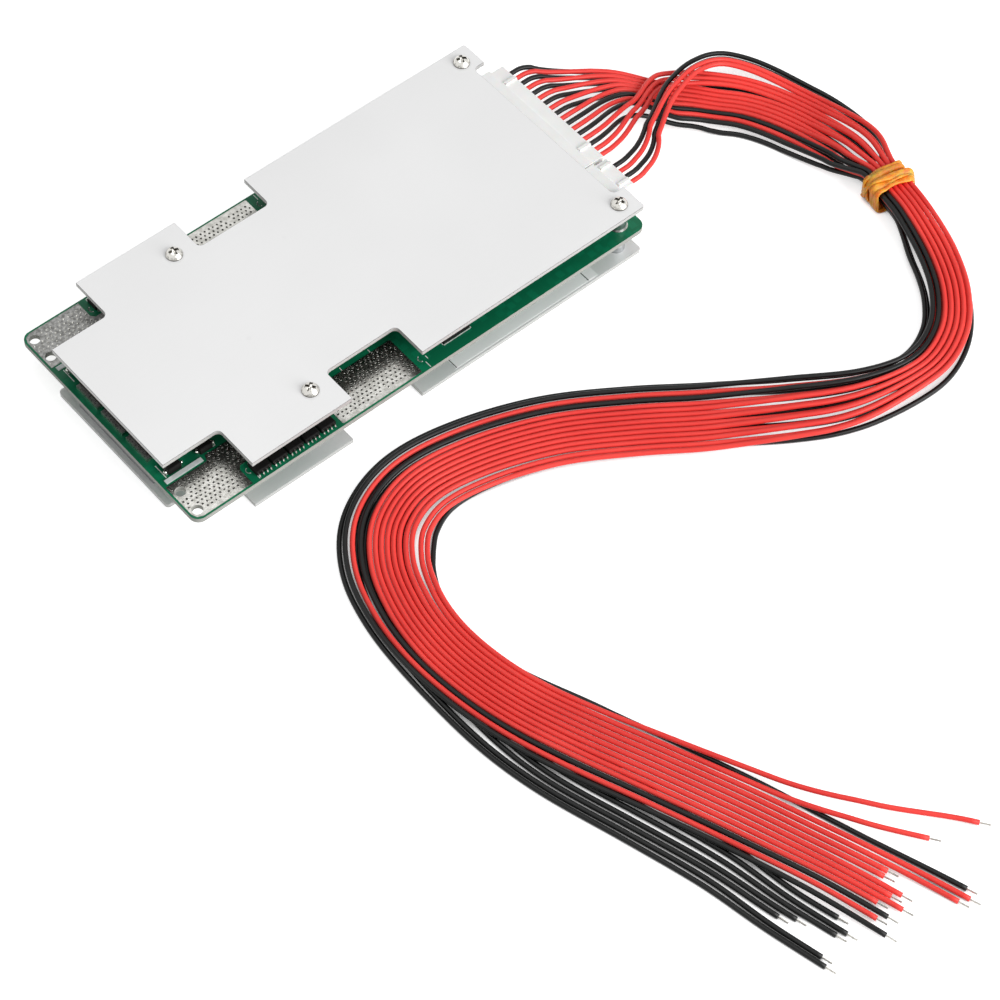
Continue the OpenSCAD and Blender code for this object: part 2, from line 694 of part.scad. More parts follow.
function line_point(i) = i < 0 ? 2 * loom_line[0] - loom_line[1] :
    i > line_last ? 2 * loom_line[line_last] - loom_line[line_last - 1] : loom_line[i];
function line_at(u) =
    let (i = min(floor(u), line_last - 1), t = u - i, a = line_point(i - 1),
         b = line_point(i), c = line_point(i + 1), d = line_point(i + 2))
    (2 * b + (c - a) * t + (2 * a - 5 * b + 4 * c - d) * t^2 + (3 * b - a - 3 * c + d) * t^3) / 2;
function line_way(u) =
    let (v = line_at(u + 0.01) - line_at(u - 0.01)) v / norm(v);

function place_of(w, list) = search(w, list)[0];
function wire_knots(w) =
    let (up = len(search(w, upper_wires)) > 0,
         n = up ? place_of(w, upper_wires) : place_of(w, lower_wires),
         y = way_y(w) - loom_line[0].y)
    concat([[0, y, way_level], [0.6, y, way_level]],
        [for (s = stations) [s[0], s[up ? 1 : 2][n], wire_d / 2 + layer_h * s[up ? 3 : 4][n]]]);
function wire_at(knots, u) =
    let (p = line_at(u), d = line_way(u), n = eased(knots, 1, u))
    [p.x - d.y * n, p.y + d.x * n, eased(knots, 2, u)];

// places of the rings along the line: closer together in the fan, at the band and in the bends
ring_places = [0, 0.6, 1, 1.4, 1.8, 2.2, 2.6, 3, 3.5, 4, 4.6, 5.3, 6, 7, 8, 8.5, 9, 9.5, 10,
    11, 11.7, 12.4, 13.1, 13.8, 14.5, 15.2, 16, 17, 18, 19, 20, 20.8, 21.6, 22.3, 23, 24,
    25, 26, 27, 28, 29, 30, 31];
function wire_route(w) =
    let (knots = wire_knots(w), last = wire_ends[w - 1])
    [for (u = concat([for (r = ring_places) if (r < last - 0.3) r], [last])) wire_at(knots, u)];

sides = 8;
function ring(p, way, r) =
    let (t = way / norm(way), s = [t.y, -t.x, 0] / norm([t.x, t.y]), v = cross(s, t))
    [for (k = [0:sides - 1]) p + r * (cos((k + 0.5) * 360 / sides) * s
        + sin((k + 0.5) * 360 / sides) * v)];

// a closed tube along a list of points
module tube(points, r) {
    n = len(points);
    rings = [for (i = [0:n - 1]) each ring(points[i],
        points[min(i + 1, n - 1)] - points[max(i - 1, 0)], r)];
    walls = [for (i = [0:n - 2], k = [0:sides - 1], half = [0, 1])
        let (a = i * sides + k, b = i * sides + (k + 1) % sides)
        half == 0 ? [a, b, b + sides] : [a, b + sides, a + sides]];
    ends = [[for (k = [0:sides - 1]) sides - 1 - k], [for (k = [0:sides - 1]) (n - 1) * sides + k]];
    polyhedron(rings, concat(walls, ends));
}

red_wires = [2, 4, 6, 8, 10, 12, 14, 16, 17, 19, 21];
module wire(w) {
    color(len(search(w, red_wires)) > 0 ? [0.85, 0.1, 0.1] : [0.08, 0.08, 0.08])
        tube(wire_route(w), wire_d / 2);
}

module wire_tips() {
    color([0.78, 0.77, 0.75]) for (w = [1:ways]) {
        route = wire_route(w);
        end = route[len(route) - 1];
        way = end - route[len(route) - 2];
        dip = atan2(way.z, norm([way.x, way.y]));
        translate(end) rotate([0, 90 - dip, atan2(way.y, way.x)])
            cylinder(h = tip_l, d = tip_d, $fn = 16);
    }
}

// ---- rubber band ----

band_at = 9.05; // place along the line
band_t = 0.95; // its turns, wound flat
band_clear = 0.12;
heap_half = 6 * 0.82 + wire_d / 2 + band_clear;
heap_h = 3 * layer_h + wire_d + 2 * band_clear;

// the heap of wires at the band, grown by t
module band_outline(t) {
    translate([-heap_half - t, band_t - t])
        round_rect(2 * (heap_half + t), heap_h + 2 * t, wire_d / 2 + band_clear + t);
}

module rubber_band() {
    p = line_at(band_at);
    d = line_way(band_at);
    color([0.9, 0.6, 0.15]) translate([p.x, p.y, 0]) rotate(atan2(d.y, d.x))
        translate([-band_w / 2, 0, 0]) rotate([90, 0, 90]) linear_extrude(band_w) difference() {
            band_outline(band_t);
            band_outline(0);
        }
}

bottom_plate();
plate_label();
lower_thermal_pad();
lower_spacers();
circuit_board();
solder_pads_top();
solder_pads_bottom();
bus_strips();
power_transistors_top();
transistor_leads_top();
power_transistors_bottom();
transistor_leads_bottom();
driver_chips();
driver_leads();
shunt_resistors();
clamp_diodes();
diode_ends();
monitor_chips();
monitor_leads();
balance_resistors();
balance_transistors();
filter_capacitors();
supply_inductor();
header_long();
header_short();
header_pins();
plug_long();
plug_short();
crimp_contacts();
upper_thermal_pad();
upper_spacers();
top_plate();
plate_screws();
wire(1);  // wire_01
wire(2);  // wire_02
wire(3);  // wire_03
wire(4);  // wire_04
wire(5);  // wire_05
wire(6);  // wire_06
wire(7);  // wire_07
wire(8);  // wire_08
wire(9);  // wire_09
wire(10);  // wire_10
wire(11);  // wire_11
wire(12);  // wire_12
wire(13);  // wire_13
wire(14);  // wire_14
wire(15);  // wire_15
wire(16);  // wire_16
wire(17);  // wire_17
wire(18);  // wire_18
wire(19);  // wire_19
wire(20);  // wire_20
wire(21);  // wire_21
wire_tips();
rubber_band();
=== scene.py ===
import bisect
import math
import random
import bmesh
import bpy
from mathutils import Matrix, Vector


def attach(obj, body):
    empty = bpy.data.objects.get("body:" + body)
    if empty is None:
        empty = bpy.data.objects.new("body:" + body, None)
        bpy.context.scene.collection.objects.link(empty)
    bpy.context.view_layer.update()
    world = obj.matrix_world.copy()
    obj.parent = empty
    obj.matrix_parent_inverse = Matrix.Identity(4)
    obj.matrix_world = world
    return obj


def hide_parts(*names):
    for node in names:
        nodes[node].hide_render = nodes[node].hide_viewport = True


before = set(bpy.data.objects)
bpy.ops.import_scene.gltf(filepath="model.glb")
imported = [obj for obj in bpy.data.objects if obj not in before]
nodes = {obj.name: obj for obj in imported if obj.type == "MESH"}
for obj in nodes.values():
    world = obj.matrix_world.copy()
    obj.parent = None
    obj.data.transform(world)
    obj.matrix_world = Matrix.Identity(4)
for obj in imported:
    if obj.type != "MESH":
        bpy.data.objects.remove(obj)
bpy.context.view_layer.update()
mm = 0.001
scene = bpy.context.scene


def fromHex(code):  # sRGB hex to linear
    parts = [int(code[i:i + 2], 16) / 255 for i in (0, 2, 4)]
    return (*[c / 12.92 if c < 0.04045 else ((c + 0.055) / 1.055) ** 2.4 for c in parts], 1)


def addNode(tree, kind, inputs=None, **settings):  # adds a node with its settings and links
    node = tree.nodes.new(kind)
    for name, value in settings.items():
        setattr(node, name, value)
    for key, value in (inputs or {}).items():
        if isinstance(value, bpy.types.NodeSocket):
            tree.links.new(value, node.inputs[key])
        else:
            node.inputs[key].default_value = value
    return node


def meshOf(build, name):  # turns a finished bmesh into a mesh
    mesh = bpy.data.meshes.new(name)
    build.to_mesh(mesh)
    build.free()
    return mesh


def newPiece(name, mesh, material, replaced=()):  # replaced: names of CAD nodes
    piece = bpy.data.objects.new(name, mesh)
    scene.collection.objects.link(piece)
    mesh.materials.clear()
    mesh.materials.append(material)
    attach(piece, "root")
    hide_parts(*replaced)
    return piece


# aim in mm, angles in degrees, lens in mm
cameraValues = {"aim": (-14.65, -84.87, 10), "distance": 870.75, "turn": -41.96,
                "height": 55.31, "roll": 1.98, "lens": 117.43}


def makeCamera(values):
    turn, height, roll = [math.radians(values[k]) for k in ("turn", "height", "roll")]
    back = Vector((math.sin(turn) * math.cos(height), -math.cos(turn) * math.cos(height),
                   math.sin(height)))
    right = Vector((math.cos(turn), math.sin(turn), 0))
    up = back.cross(right)
    sideAxis = math.cos(roll) * right + math.sin(roll) * up
    upAxis = -math.sin(roll) * right + math.cos(roll) * up
    data = bpy.data.cameras.new("camera")
    data.sensor_width = 36
    data.lens = values["lens"]
    camera = bpy.data.objects.new("camera", data)
    scene.collection.objects.link(camera)
    place = Matrix((sideAxis, upAxis, back)).transposed().to_4x4()
    place.translation = (Vector(values["aim"]) + back * values["distance"]) * mm
    camera.matrix_world = place
    scene.camera = camera


makeCamera(cameraValues)
print("camera set")


def startMaterial(name, finish):  # finish holds the constant values of the shader
    material = bpy.data.materials.new(name)
    material.use_nodes = True
    tree = material.node_tree
    tree.nodes.clear()
    shader = addNode(tree, "ShaderNodeBsdfPrincipled", finish)
    addNode(tree, "ShaderNodeOutputMaterial", {"Surface": shader.outputs[0]})
    coords = addNode(tree, "ShaderNodeTexCoord")
    return material, tree, shader, coords


def noiseOf(tree, vector, size, detail=3.0):  # size of one blotch or grain in mm
    return addNode(tree, "ShaderNodeTexNoise", {"Vector": vector, "Scale": 1 / (size * mm),
                                                "Detail": detail}).outputs["Fac"]


# stretches fromLow..fromHigh of a value to low..high
def spread(tree, value, low, high, fromLow=0.35, fromHigh=0.65):
    return addNode(tree, "ShaderNodeMapRange", {"Value": value, "From Min": fromLow,
                   "From Max": fromHigh, "To Min": low, "To Max": high}).outputs[0]


def levelOf(tree):  # 1 on level faces, 0 on upright ones
    facing = addNode(tree, "ShaderNodeSeparateXYZ",
                     {0: addNode(tree, "ShaderNodeNewGeometry").outputs["Normal"]})
    return addNode(tree, "ShaderNodeMath", {0: facing.outputs["Z"]},
                   operation="ABSOLUTE").outputs[0]


def mixColour(tree, factor, first, second):
    return addNode(tree, "ShaderNodeMix", {0: factor, 6: first, 7: second},
                   data_type="RGBA").outputs[2]


def dress(tree, shader, colour, roughness, height, depth, strength):  # depth in mm
    relief = addNode(tree, "ShaderNodeBump", {"Height": height, "Distance": depth * mm,
                                              "Strength": strength})
    for socket, value in (("Base Color", colour), ("Roughness", roughness),
                          ("Normal", relief.outputs[0])):
        tree.links.new(value, shader.inputs[socket])


def makeFinish(name, light, dark, patch, grain, rough, bump, metallic=0.0, **extra):
    # light and dark shades drift over patches; grain gives the bump; sizes in mm
    material, tree, shader, coords = startMaterial(name, {"Metallic": metallic, **extra})
    place = coords.outputs["Object"]
    drift = spread(tree, noiseOf(tree, place, patch), 0, 1)
    fine = noiseOf(tree, place, grain, 4.0)
    colour = mixColour(tree, drift, fromHex(light), fromHex(dark))
    roughness = spread(tree, fine, rough - 0.05, rough + 0.06)
    dress(tree, shader, colour, roughness, fine, bump, 0.6)
    return material


def makeSheetMetal(name, light, dark, values):
    # satin anodised sheet: even and pale, rolled grain, a few dust specks; painted shade on the
    # lower face and a dark painted line on the bevelled edges
    material, tree, shader, coords = startMaterial(name, {"Metallic": values["metallic"]})
    place = coords.outputs["Object"]
    along = addNode(tree, "ShaderNodeMapping", {"Vector": place,
                    "Scale": (values["stretch"], 1, 1)})
    grain = noiseOf(tree, along.outputs[0], values["grain"], 2.0)
    drift = spread(tree, noiseOf(tree, place, values["patch"], 2.0), 0, 1)
    specks = addNode(tree, "ShaderNodeTexVoronoi", {"Vector": place,
                     "Scale": 1 / (values["speckGap"] * mm)})
    speck = spread(tree, specks.outputs["Distance"], values["speckDark"], 0,
                   *values["speckEdge"])
    worn = addNode(tree, "ShaderNodeMath", {0: drift, 1: speck}, operation="MAXIMUM")
    level = levelOf(tree)
    face = mixColour(tree, worn.outputs[0], fromHex(light), fromHex(dark))
    # painted shade: bevelled faces take the dark corner colour as a thin line along the edges
    edge = mixColour(tree, spread(tree, level, 0, 1, 0.2, 0.4), fromHex(values["cut"]),
                     fromHex(values["corner"]))
    # painted shade: faces that point down take the darker under colour
    upward = addNode(tree, "ShaderNodeSeparateXYZ",
                     {0: addNode(tree, "ShaderNodeNewGeometry").outputs["Normal"]})
    faceAndPaintedUnderShade = mixColour(tree, spread(tree, upward.outputs["Z"], 0, 1, -0.9, -0.5),
                      fromHex(values["under"]), face)
    colour = mixColour(tree, spread(tree, level, 0, 1, 0.88, 0.96), edge, faceAndPaintedUnderShade)
    roughness = spread(tree, grain, values["rough"] - 0.04, values["rough"] + 0.05)
    dress(tree, shader, colour, roughness, grain, values["relief"], 0.5)
    return material


def makeBoardMaterial(values):
    # solder mask on glass laminate: green and glossy on its faces, pale and matt at the cut edge
    material, tree, shader, coords = startMaterial("solderMaskOnLaminate",
        {"IOR": 1.5, "Specular IOR Level": 0.25})
    place = coords.outputs["Object"]
    onFace = spread(tree, levelOf(tree), 0, 1, 0.4, 0.6)
    copper = addNode(tree, "ShaderNodeTexVoronoi", {"Vector": place,
                     "Scale": 1 / (values["track"] * mm)}, distance="CHEBYCHEV")
    tracks = spread(tree, copper.outputs["Distance"], 0, 1, 0.3, 0.36)
    mask = mixColour(tree, tracks, fromHex(values["overCopper"]), fromHex(values["overGlass"]))
    weave = noiseOf(tree, place, values["fibre"])
    edge = mixColour(tree, weave, fromHex(values["edgeLight"]), fromHex(values["edgeDark"]))
    colour = mixColour(tree, onFace, edge, mask)
    roughness = spread(tree, onFace, values["edgeRough"], values["maskRough"], 0, 1)
    dress(tree, shader, colour, roughness, tracks, values["relief"], 0.4)
    return material


def makeInsulation(name, light, dark, values):
    # extruded PVC: smooth, softly glossy, faint draw lines along the wire
    material, tree, shader, coords = startMaterial(name, {"IOR": 1.53,
                                     "Specular IOR Level": values["gloss"]})
    lines = addNode(tree, "ShaderNodeMapping", {"Vector": coords.outputs["UV"],
                    "Scale": (0.05, 2.5, 1)})
    drawn = addNode(tree, "ShaderNodeTexNoise", {"Vector": lines.outputs[0], "Scale": 1.0})
    drift = spread(tree, noiseOf(tree, coords.outputs["Object"], values["patch"]), 0, 1)
    colour = mixColour(tree, drift, fromHex(light), fromHex(dark))
    roughness = spread(tree, drawn.outputs["Fac"], values["rough"] - 0.06, values["rough"] + 0.06)
    dress(tree, shader, colour, roughness, drawn.outputs["Fac"], values["relief"], 0.3)
    return material


redInsulation = makeInsulation("redPvcInsulation", "F0463F", "E23A35",
                               {"gloss": 0.26, "patch": 30, "rough": 0.42, "relief": 0.008})
blackInsulation = makeInsulation("blackPvcInsulation", "101111", "0A0B0B",
                                 {"gloss": 0.24, "patch": 30, "rough": 0.36, "relief": 0.008})
# tinned copper strands: bright, slightly grey
tinnedStrand = makeFinish("tinnedCopperStrand", "D8D6D0", "B4B1AA", 1.0, 0.2, 0.28, 0.01, 1.0)


# sizes in mm; straight is the place along the line where a wire starts to bend
wireValues = {"diameter": 1.5, "layer": 1.62, "ways": 21, "longWays": 17, "pitch": 2.5,
              "margin": 2.2, "plugGap": 1.2, "rowMiddle": -0.7, "level": 14.8, "straight": 0.6,
              "sides": 12, "samplesPerKnot": 10, "red": (2, 4, 6, 8, 10, 12, 14, 16, 17, 19, 21)}
# stripped end in mm; twist turns each ring of points, splay opens each second strand
tipValues = {"length": 3, "width": 0.5, "strands": 7, "sides": 6, "steps": 8, "twist": 0.35,
             "splay": 0.25}
# middle line of the loom on the surface, mm
loomLine = [[79.5, -1], [90, -1], [103, -1], [116, -4], [128, -9], [138, -18], [145, -32],
    [148, -48], [147.5, -60], [146, -69], [143.5, -82], [139, -96], [131.5, -109], [121, -118.5],
    [107, -122.5], [89, -118.5], [71, -109], [54, -97], [35, -83.5], [15, -71.5], [-6, -64],
    [-24, -62], [-38, -67], [-47, -77], [-52, -90], [-54, -104], [-53.5, -120], [-51, -136],
    [-46, -153], [-38, -174], [-30, -196], [-24, -216], [-18, -236]]
lineLast = len(loomLine) - 1
upperWires = [19, 21, 14, 16, 17, 2, 4, 6, 8, 10, 11, 12, 13]
lowerWires = [18, 20, 1, 3, 5, 7, 9, 15]
flatUp, flatLow = [1] * 13, [0] * 8
heapUp, heapLow = [3 if i % 2 == 0 else 2 for i in range(13)], [i % 2 for i in range(8)]
liftedUp, liftedLow = [h + 0.7 for h in heapUp], [h + 0.7 for h in heapLow]
bandUp = [(6 - i) * 0.82 for i in range(13)]
bandLow = [(3 - i) * 1.1 + (i % 2) * 0.5 for i in range(8)]
bendUp = [(6 - i) * 0.875 for i in range(13)]
bendLow = [6.3, 3.6, 2, 0.6, -2.2, -3.2, -6, -7]
# place along the line, places across it and heights, of the upper and of the lower layer
stations = [
    [2.2, [-12.6, -16.6, -1.2, -3.7, -6.1, 14.6, 12.5, 10.4, 8.3, 6.2, 4.1, 2.1, 0.2],
     [-10.6, -14.6, 16, 13.6, 11.2, 8.8, 6.4, -3],
     [8.6, 8.6, 6.5, 6.5, 6.5, 5.4, 5.4, 5.4, 5.4, 5.4, 5.4, 5.4, 5.4],
     [7.5, 7.5, 4.1, 4.1, 4.1, 4.1, 4.1, 4.1]],
    [3.3, [-0.4, -3.2, 8.8, 6.4, 4, 6.9, 4.8, 2.7, 0.6, -1.5, -3.6, -5.6, -7.7],
     [3.2, 0.6, 7.8, 5.4, 3, 0.6, -1.8, -8.5],
     [6.8, 6.8, 3.6, 3.6, 3.6, 2.3, 2.3, 2.3, 2.3, 2.3, 2.3, 2.3, 2.3],
     [5.5, 5.5, 1, 1, 1, 1, 1, 1]],
    [4.6, [10.6, 8.9, 7.2, 5.5, 3.8, 2.1, 0.4, -1.3, -3, -4.7, -6.4, -8.1, -9.9],
     [14.6, 12.4, 5.5, 3, 0.5, -2, -6, -12.3],
     [4, 4, 2, 2, 2, 1, 1, 1, 1, 1, 1, 1, 1], [3, 3, 0, 0, 0, 0, 0, 0]],
    [6, [10, 8.3, 6.6, 4.9, 3.2, 1.5, -0.2, -1.9, -3.6, -5.4, -7.2, -9, -10.8],
     [13.6, 11.9, 5, 2.5, 0, -2.5, -6.4, -12.4], flatUp, flatLow],
    [7.3, [8.8, 7.2, 5.6, 4, 2.4, 0.8, -0.8, -2.4, -4, -5.6, -7.2, -8.8, -10.4],
     [11.4, 9.2, 5, 2.5, 0, -2.5, -5, -10], heapUp, heapLow],
    [8.5, bandUp, bandLow, liftedUp, liftedLow],
    [9.6, bandUp, bandLow, liftedUp, liftedLow],
    [11, bendUp, bendLow, heapUp, heapLow],
    [14, bendUp, bendLow, heapUp, heapLow],
    [15.8, [11.2, 9.6, 8, 6.4, 4.8, 3.2, 1.6, 0, -1.6, -3.2, -4.8, -6.4, -8],
     [9.4, 6, 4, 1.5, -1, -3.5, -7.2, -9.8], heapUp, heapLow],
    [17.5, [12, 10.2, 8.4, 6.7, 5, 3.3, 1.6, -0.1, -1.8, -3.6, -5.5, -7.4, -9.4],
     [9.4, 6, 4, 1.5, -1.2, -4.6, -8.3, -11.1], flatUp, flatLow],
    [20, [12, 10.2, 8, 6.3, 4.6, 2.9, 1.2, -0.5, -2.2, -4, -6, -8, -10],
     [11.2, 6, 4, 1, -2, -5, -8.8, -11.8], flatUp, flatLow],
    [22.3, [11.2, 9.5, 7, 5.4, 3.6, 2, 0.4, -1.2, -2.8, -4.4, -6.8, -9, -11],
     [12.9, 4.6, 2.8, 1, -2, -5.7, -7.9, -12.6], flatUp, flatLow],
    [25, [9.6, 8, 6.4, 4.8, 3.2, 1.6, 0, -1.6, -3.2, -4.8, -6.4, -8, -9.6],
     [9, 5, 3, 0.6, -2.4, -5.6, -8.8, -11], flatUp, flatLow],
    [28, [13.2, 11.4, 9.7, 8, 6.3, 4.6, 2.9, 1.2, -0.5, -2.2, -3.9, -5.6, -7.5],
     [14.8, 2, -4.7, -7, -9.4, -11.4, -13.4, -15.2], flatUp, flatLow],
    [30, [17.5, 13.6, 11.6, 9.8, 8, 6.2, 4.4, 2.6, 0.8, -1, -2.7, -4.4, -6.3],
     [15.3, -4, -7, -9.4, -11.8, -13.8, -16, -18.1], flatUp, flatLow],
    [31.2, [25, 18.9, 13.4, 11.5, 9.6, 7.8, 5.9, 4.2, 2.5, 0.8, -1, -2.8, -5.2],
     [16.2, -7, -9.4, -11.4, -13.4, -15.4, -18.4, -20.2], flatUp, flatLow],
    [32.9, [38, 29, 15.6, 13.4, 11.6, 9.8, 7, 5.3, 3.6, 1.9, -0.4, -2.4, -5.2],
     [17.8, -7.6, -10.4, -12.2, -14.2, -16.1, -19.6, -21.4], [0] * 13, flatLow]]
# where each wire ends, along the line, wire 1 first
wireEnds = [31.8, 31.8, 31.7, 32.1, 31.2, 32, 31, 32.2, 31.7, 31.9, 32.1, 32, 32.2, 32.8,
    31.8, 32.7, 31.8, 32.7, 32.4, 31.6, 32]


def wayPlace(number):  # across the board, mm
    v = wireValues
    row = (v["ways"] - 2) * v["pitch"] + 2 * v["margin"] + v["plugGap"]
    step = 2 * v["margin"] + v["plugGap"] - v["pitch"] if number > v["longWays"] else 0
    return v["rowMiddle"] + row / 2 - (number - 1) * v["pitch"] - step


def knotSlope(table, j, k):  # slope of column k at row j, flat at the ends and the turns
    if j == 0 or j == len(table) - 1:
        return 0
    a = (table[j][k] - table[j - 1][k]) / (table[j][0] - table[j - 1][0])
    b = (table[j + 1][k] - table[j][k]) / (table[j + 1][0] - table[j][0])
    return 0 if a * b <= 0 else 2 * a * b / (a + b)


def eased(table, k, u):  # smooth value without overshoot
    j = min(max(bisect.bisect_right([row[0] for row in table], u) - 1, 0), len(table) - 2)
    h = table[j + 1][0] - table[j][0]
    t = min((u - table[j][0]) / h, 1)
    return ((2 * t**3 - 3 * t**2 + 1) * table[j][k]
            + (t**3 - 2 * t**2 + t) * h * knotSlope(table, j, k)
            + (3 * t**2 - 2 * t**3) * table[j + 1][k]
            + (t**3 - t**2) * h * knotSlope(table, j + 1, k))


def linePoint(i):  # a point of the middle line, also one past each end
    if i < 0:
        return 2 * Vector(loomLine[0]) - Vector(loomLine[1])
    if i > lineLast:
        return 2 * Vector(loomLine[lineLast]) - Vector(loomLine[lineLast - 1])
    return Vector(loomLine[i])


def lineAt(u):  # smooth curve through the middle line's points, mm
    i = min(math.floor(u), lineLast - 1)
    t = u - i
    a, b, c, d = [linePoint(i + k) for k in (-1, 0, 1, 2)]
    return (2 * b + (c - a) * t + (2 * a - 5 * b + 4 * c - d) * t * t
            + (3 * b - a - 3 * c + d) * t**3) / 2


def lineWay(u):  # direction of the middle line
    return (lineAt(u + 0.01) - lineAt(u - 0.01)).normalized()


def wireRoute(number):  # points of one wire in metres
    v = wireValues
    upper = number in upperWires
    n = (upperWires if upper else lowerWires).index(number)
    side = wayPlace(number) - loomLine[0][1]
    knots = [[0, side, v["level"]], [v["straight"], side, v["level"]]]
    knots += [[s[0], s[1 if upper else 2][n],
               v["diameter"] / 2 + v["layer"] * s[3 if upper else 4][n]] for s in stations]
    end = wireEnds[number - 1]
    count = round(end * v["samplesPerKnot"])
    points = []
    for step in range(count + 1):
        u = end * step / count
        p, d, across = lineAt(u), lineWay(u), eased(knots, 1, u)
        points.append(Vector((p.x - d.y * across, p.y + d.x * across, eased(knots, 2, u))) * mm)
    return points


def makeTube(name, points, radius, sides):  # closed tube with UV: length in mm, and turns round
    mesh = bpy.data.meshes.new(name)
    verts, faces, uvs = [], [], []
    run = [0.0]
    for a, b in zip(points, points[1:]):
        run.append(run[-1] + (b - a).length / mm)
    for i, point in enumerate(points):
        way = (points[min(i + 1, len(points) - 1)] - points[max(i - 1, 0)]).normalized()
        side = Vector((way.y, -way.x, 0)).normalized()
        lift = side.cross(way)
        for k in range(sides):
            angle = (k + 0.5) * 2 * math.pi / sides
            verts.append(point + radius * (math.cos(angle) * side + math.sin(angle) * lift))
    for i in range(len(points) - 1):
        for k in range(sides):
            a, b = i * sides + k, i * sides + (k + 1) % sides
            faces.append((a, a + sides, b + sides, b))
            uvs += [(run[i], k / sides), (run[i + 1], k / sides),
                    (run[i + 1], (k + 1) / sides), (run[i], (k + 1) / sides)]
    faces.append(tuple(range(sides)))
    faces.append(tuple((len(points) - 1) * sides + k for k in range(sides - 1, -1, -1)))
    uvs += [(0, 0)] * sides + [(run[-1], 0)] * sides
    mesh.from_pydata(verts, [], faces)
    mesh.update()
    layer = mesh.uv_layers.new(name="along")
    for i, uv in enumerate(uvs):
        layer.data[i].uv = uv
    mesh.polygons.foreach_set("use_smooth", [len(f) == 4 for f in faces])
    return mesh, run[-1] * mm


def makeTip(number, route):  # stripped end: a twist of tinned strands
    v = tipValues
    end, way = route[-1], (route[-1] - route[-3]).normalized()
    side = Vector((way.y, -way.x, 0)).normalized()
    lift = side.cross(way)
    thin = v["width"] / 3 * mm  # three strands side by side

    def around(angle):
        return math.cos(angle) * side + math.sin(angle) * lift

    build = bmesh.new()
    for strand in range(v["strands"]):
        reach = 0 if strand == 0 else thin
        rings = []
        for step in range(v["steps"] + 1):
            share = step / v["steps"]
            turn = strand * math.pi / 3 + step * v["twist"] + number
            out = reach * (1 + (v["splay"] * share ** 2 if strand % 2 else 0))
            middle = end + way * v["length"] * mm * step / v["steps"] + out * around(turn)
            rings.append([build.verts.new(middle + thin / 2 * around(k * 2 * math.pi / v["sides"]))
                          for k in range(v["sides"])])
        for low, high in zip(rings, rings[1:]):
            for k in range(v["sides"]):
                n = (k + 1) % v["sides"]
                build.faces.new((low[k], low[n], high[n], high[k]))
        build.faces.new(rings[0][::-1])
        build.faces.new(rings[-1])
    bmesh.ops.recalc_face_normals(build, faces=build.faces)
    mesh = meshOf(build, f"strippedEnd{number:02d}")
    return newPiece(mesh.name, mesh, tinnedStrand, ["wire_tips"])


for number in range(1, wireValues["ways"] + 1):
    route = wireRoute(number)
    red = number in wireValues["red"]
    tubeMesh, tubeLength = makeTube(f"balanceWire{number:02d}", route,
                                    wireValues["diameter"] / 2 * mm, wireValues["sides"])
    wire = newPiece(tubeMesh.name, tubeMesh, redInsulation if red else blackInsulation,
                    [f"wire_{number:02d}"])
    tip = makeTip(number, route)


# sizes in mm; at is the place along the loom's line, waves are in radians for each turn
bandValues = {"at": 9.05, "halfWidth": 5.79, "height": 6.6, "foot": 0.95, "corner": 0.87,
              "thick": 1.0, "wide": 2.0, "turns": 6, "steps": 96, "sides": 12,
              "start": 0.12, "crossing": 0.8, "lump": 0.55, "lumpWaves": (15.0, 6.3),
              "twist": 0.75, "twistWave": 11.3, "swell": 0.2, "swellWave": 7.1, "squareness": 0.9,
              # place along the loom at each half turn; the last turn crosses back
              "places": (-4.0, -3.6, -2.2, -2.6, -0.6, -0.3, 1.4, 0.9, 3.0, 2.5, 4.0, 0.2, -4.0)}


def bandRound(share, out):  # a point on the heap's rounded outline, grown by out, mm
    v = bandValues
    a, b, r = v["halfWidth"] + out, v["height"] / 2 + out, v["corner"] + out
    straightA, straightB, arc = 2 * (a - r), 2 * (b - r), math.pi / 2 * r
    place = (share % 1) * 2 * (straightA + straightB + 2 * arc)
    corners = [(a - r, -b + r, -90), (a - r, b - r, 0), (-a + r, b - r, 90), (-a + r, -b + r, 180)]
    for n, (x, z, start) in enumerate(corners):
        straight = straightA if n % 2 == 0 else straightB
        if place <= straight:  # along the flat that leads to this corner
            way = math.radians(start + 90)
            endX = x + r * math.cos(math.radians(start))
            endZ = z + r * math.sin(math.radians(start))
            back = straight - place
            return endX - math.cos(way) * back, endZ - math.sin(way) * back, start
        place -= straight
        if place <= arc:
            angle = start + 90 * place / arc
            return (x + r * math.cos(math.radians(angle)),
                    z + r * math.sin(math.radians(angle)), angle)
        place -= arc
    return a - r, -b, -90


def squared(value):  # squares up the round section of the band a little
    return math.copysign(abs(value) ** bandValues["squareness"], value)


